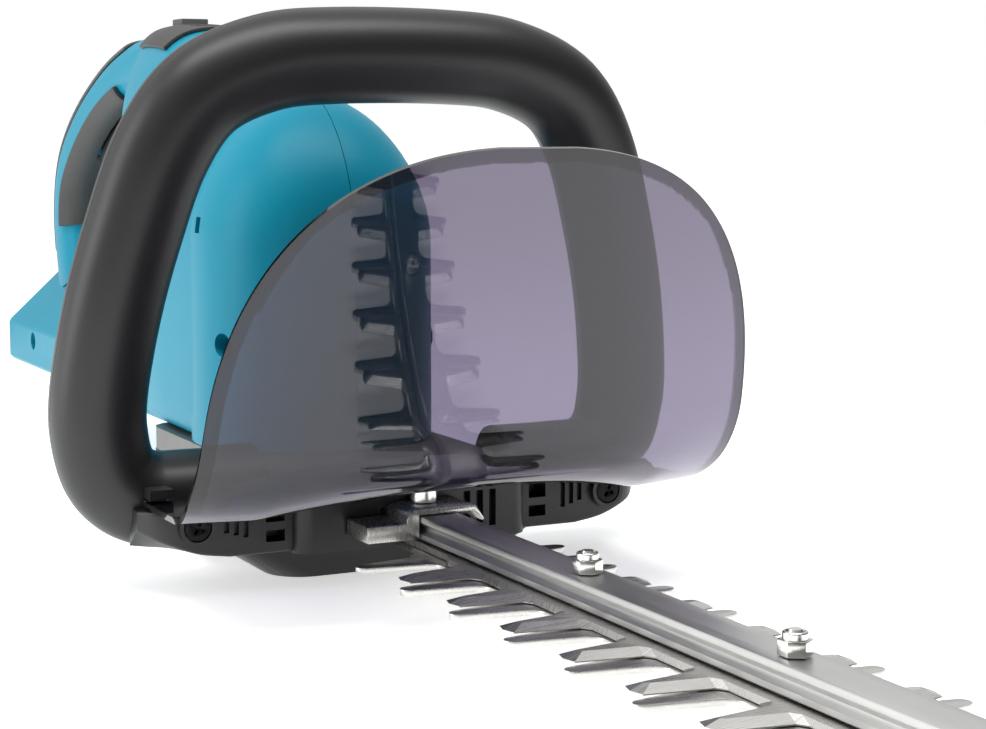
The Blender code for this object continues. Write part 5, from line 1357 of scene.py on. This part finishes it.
def make_world():
    """White backdrop; its light comes from behind, from above and from the left, and little from the front."""
    world = bpy.data.worlds.new("studio_white")
    bpy.context.scene.world = world
    world.use_nodes = True
    tree = world.node_tree
    ray = node(tree, "ShaderNodeNewGeometry").outputs["Incoming"]
    parts = node(tree, "ShaderNodeSeparateXYZ", Vector=ray)
    overhead = {"From Min": -0.2, "From Max": -0.8, "To Min": 0.0, "To Max": 0.40}
    beside = {"From Min": 0.35, "From Max": 0.9, "To Min": 0.0, "To Max": 0.45}
    behind = {"From Min": 0.0, "From Max": -0.7, "To Min": 0.0, "To Max": 0.7}
    above = node(tree, "ShaderNodeMapRange", overhead, Value=parts.outputs["Z"])
    left = node(tree, "ShaderNodeMapRange", beside, Value=parts.outputs["X"])
    back = node(tree, "ShaderNodeMapRange", behind, Value=parts.outputs["Y"])
    both = node(tree, "ShaderNodeMath", {"operation": "ADD"}, i0=above.outputs[0], i1=left.outputs[0])
    three = node(tree, "ShaderNodeMath", {"operation": "ADD"}, i0=both.outputs[0], i1=back.outputs[0])
    level = node(tree, "ShaderNodeMath", {"operation": "ADD", 1: AMBIENT}, i0=three.outputs[0])
    seen = node(tree, "ShaderNodeLightPath").outputs["Is Camera Ray"]
    strength = node(tree, "ShaderNodeMix", {"data_type": "FLOAT", 3: 1.0}, i0=seen, i2=level.outputs[0])
    background = tree.nodes["Background"]
    background.inputs["Color"].default_value = colour("#FFFFFF")
    tree.links.new(strength.outputs[0], background.inputs["Strength"])


def area_light(name, place_at, target, size, power):
    light = bpy.data.lights.new(name, "AREA")
    light.shape = "RECTANGLE"
    light.size, light.size_y = size
    light.energy = power
    obj = bpy.data.objects.new(name, light)
    bpy.context.scene.collection.objects.link(obj)
    obj.location = place_at
    obj.rotation_euler = (Vector(target) - Vector(place_at)).to_track_quat("-Z", "Y").to_euler()
    return obj


def make_lights():
    aim = (0, 0.05, 0.1)
    area_light("soft_top", (-0.1, -0.25, 1.4), aim, (1.6, 0.5), 16)
    area_light("soft_left", (-1.4, 0.35, 0.5), aim, (0.6, 1.2), 7)


def make_camera():
    camera = bpy.data.cameras.new("view")
    camera.sensor_width = SENSOR
    camera.lens = LENS
    camera.clip_start = 10 * MM
    obj = bpy.data.objects.new("view", camera)
    bpy.context.scene.collection.objects.link(obj)
    obj.location = CAMERA_PLACE
    obj.rotation_euler = CAMERA_AHEAD.to_track_quat("-Z", "Y").to_euler()
    bpy.context.scene.camera = obj


make_blades()
make_guide_bar()
make_bar_fasteners()
make_bracket()
make_under_cover()
make_housing()
make_grip_covers()
make_controls()
make_loop_handle()
make_guard()
finish_kept_nodes()
make_stage()
make_world()
make_lights()
make_camera()
clear_helpers()
bpy.context.scene.view_settings.view_transform = "Standard"
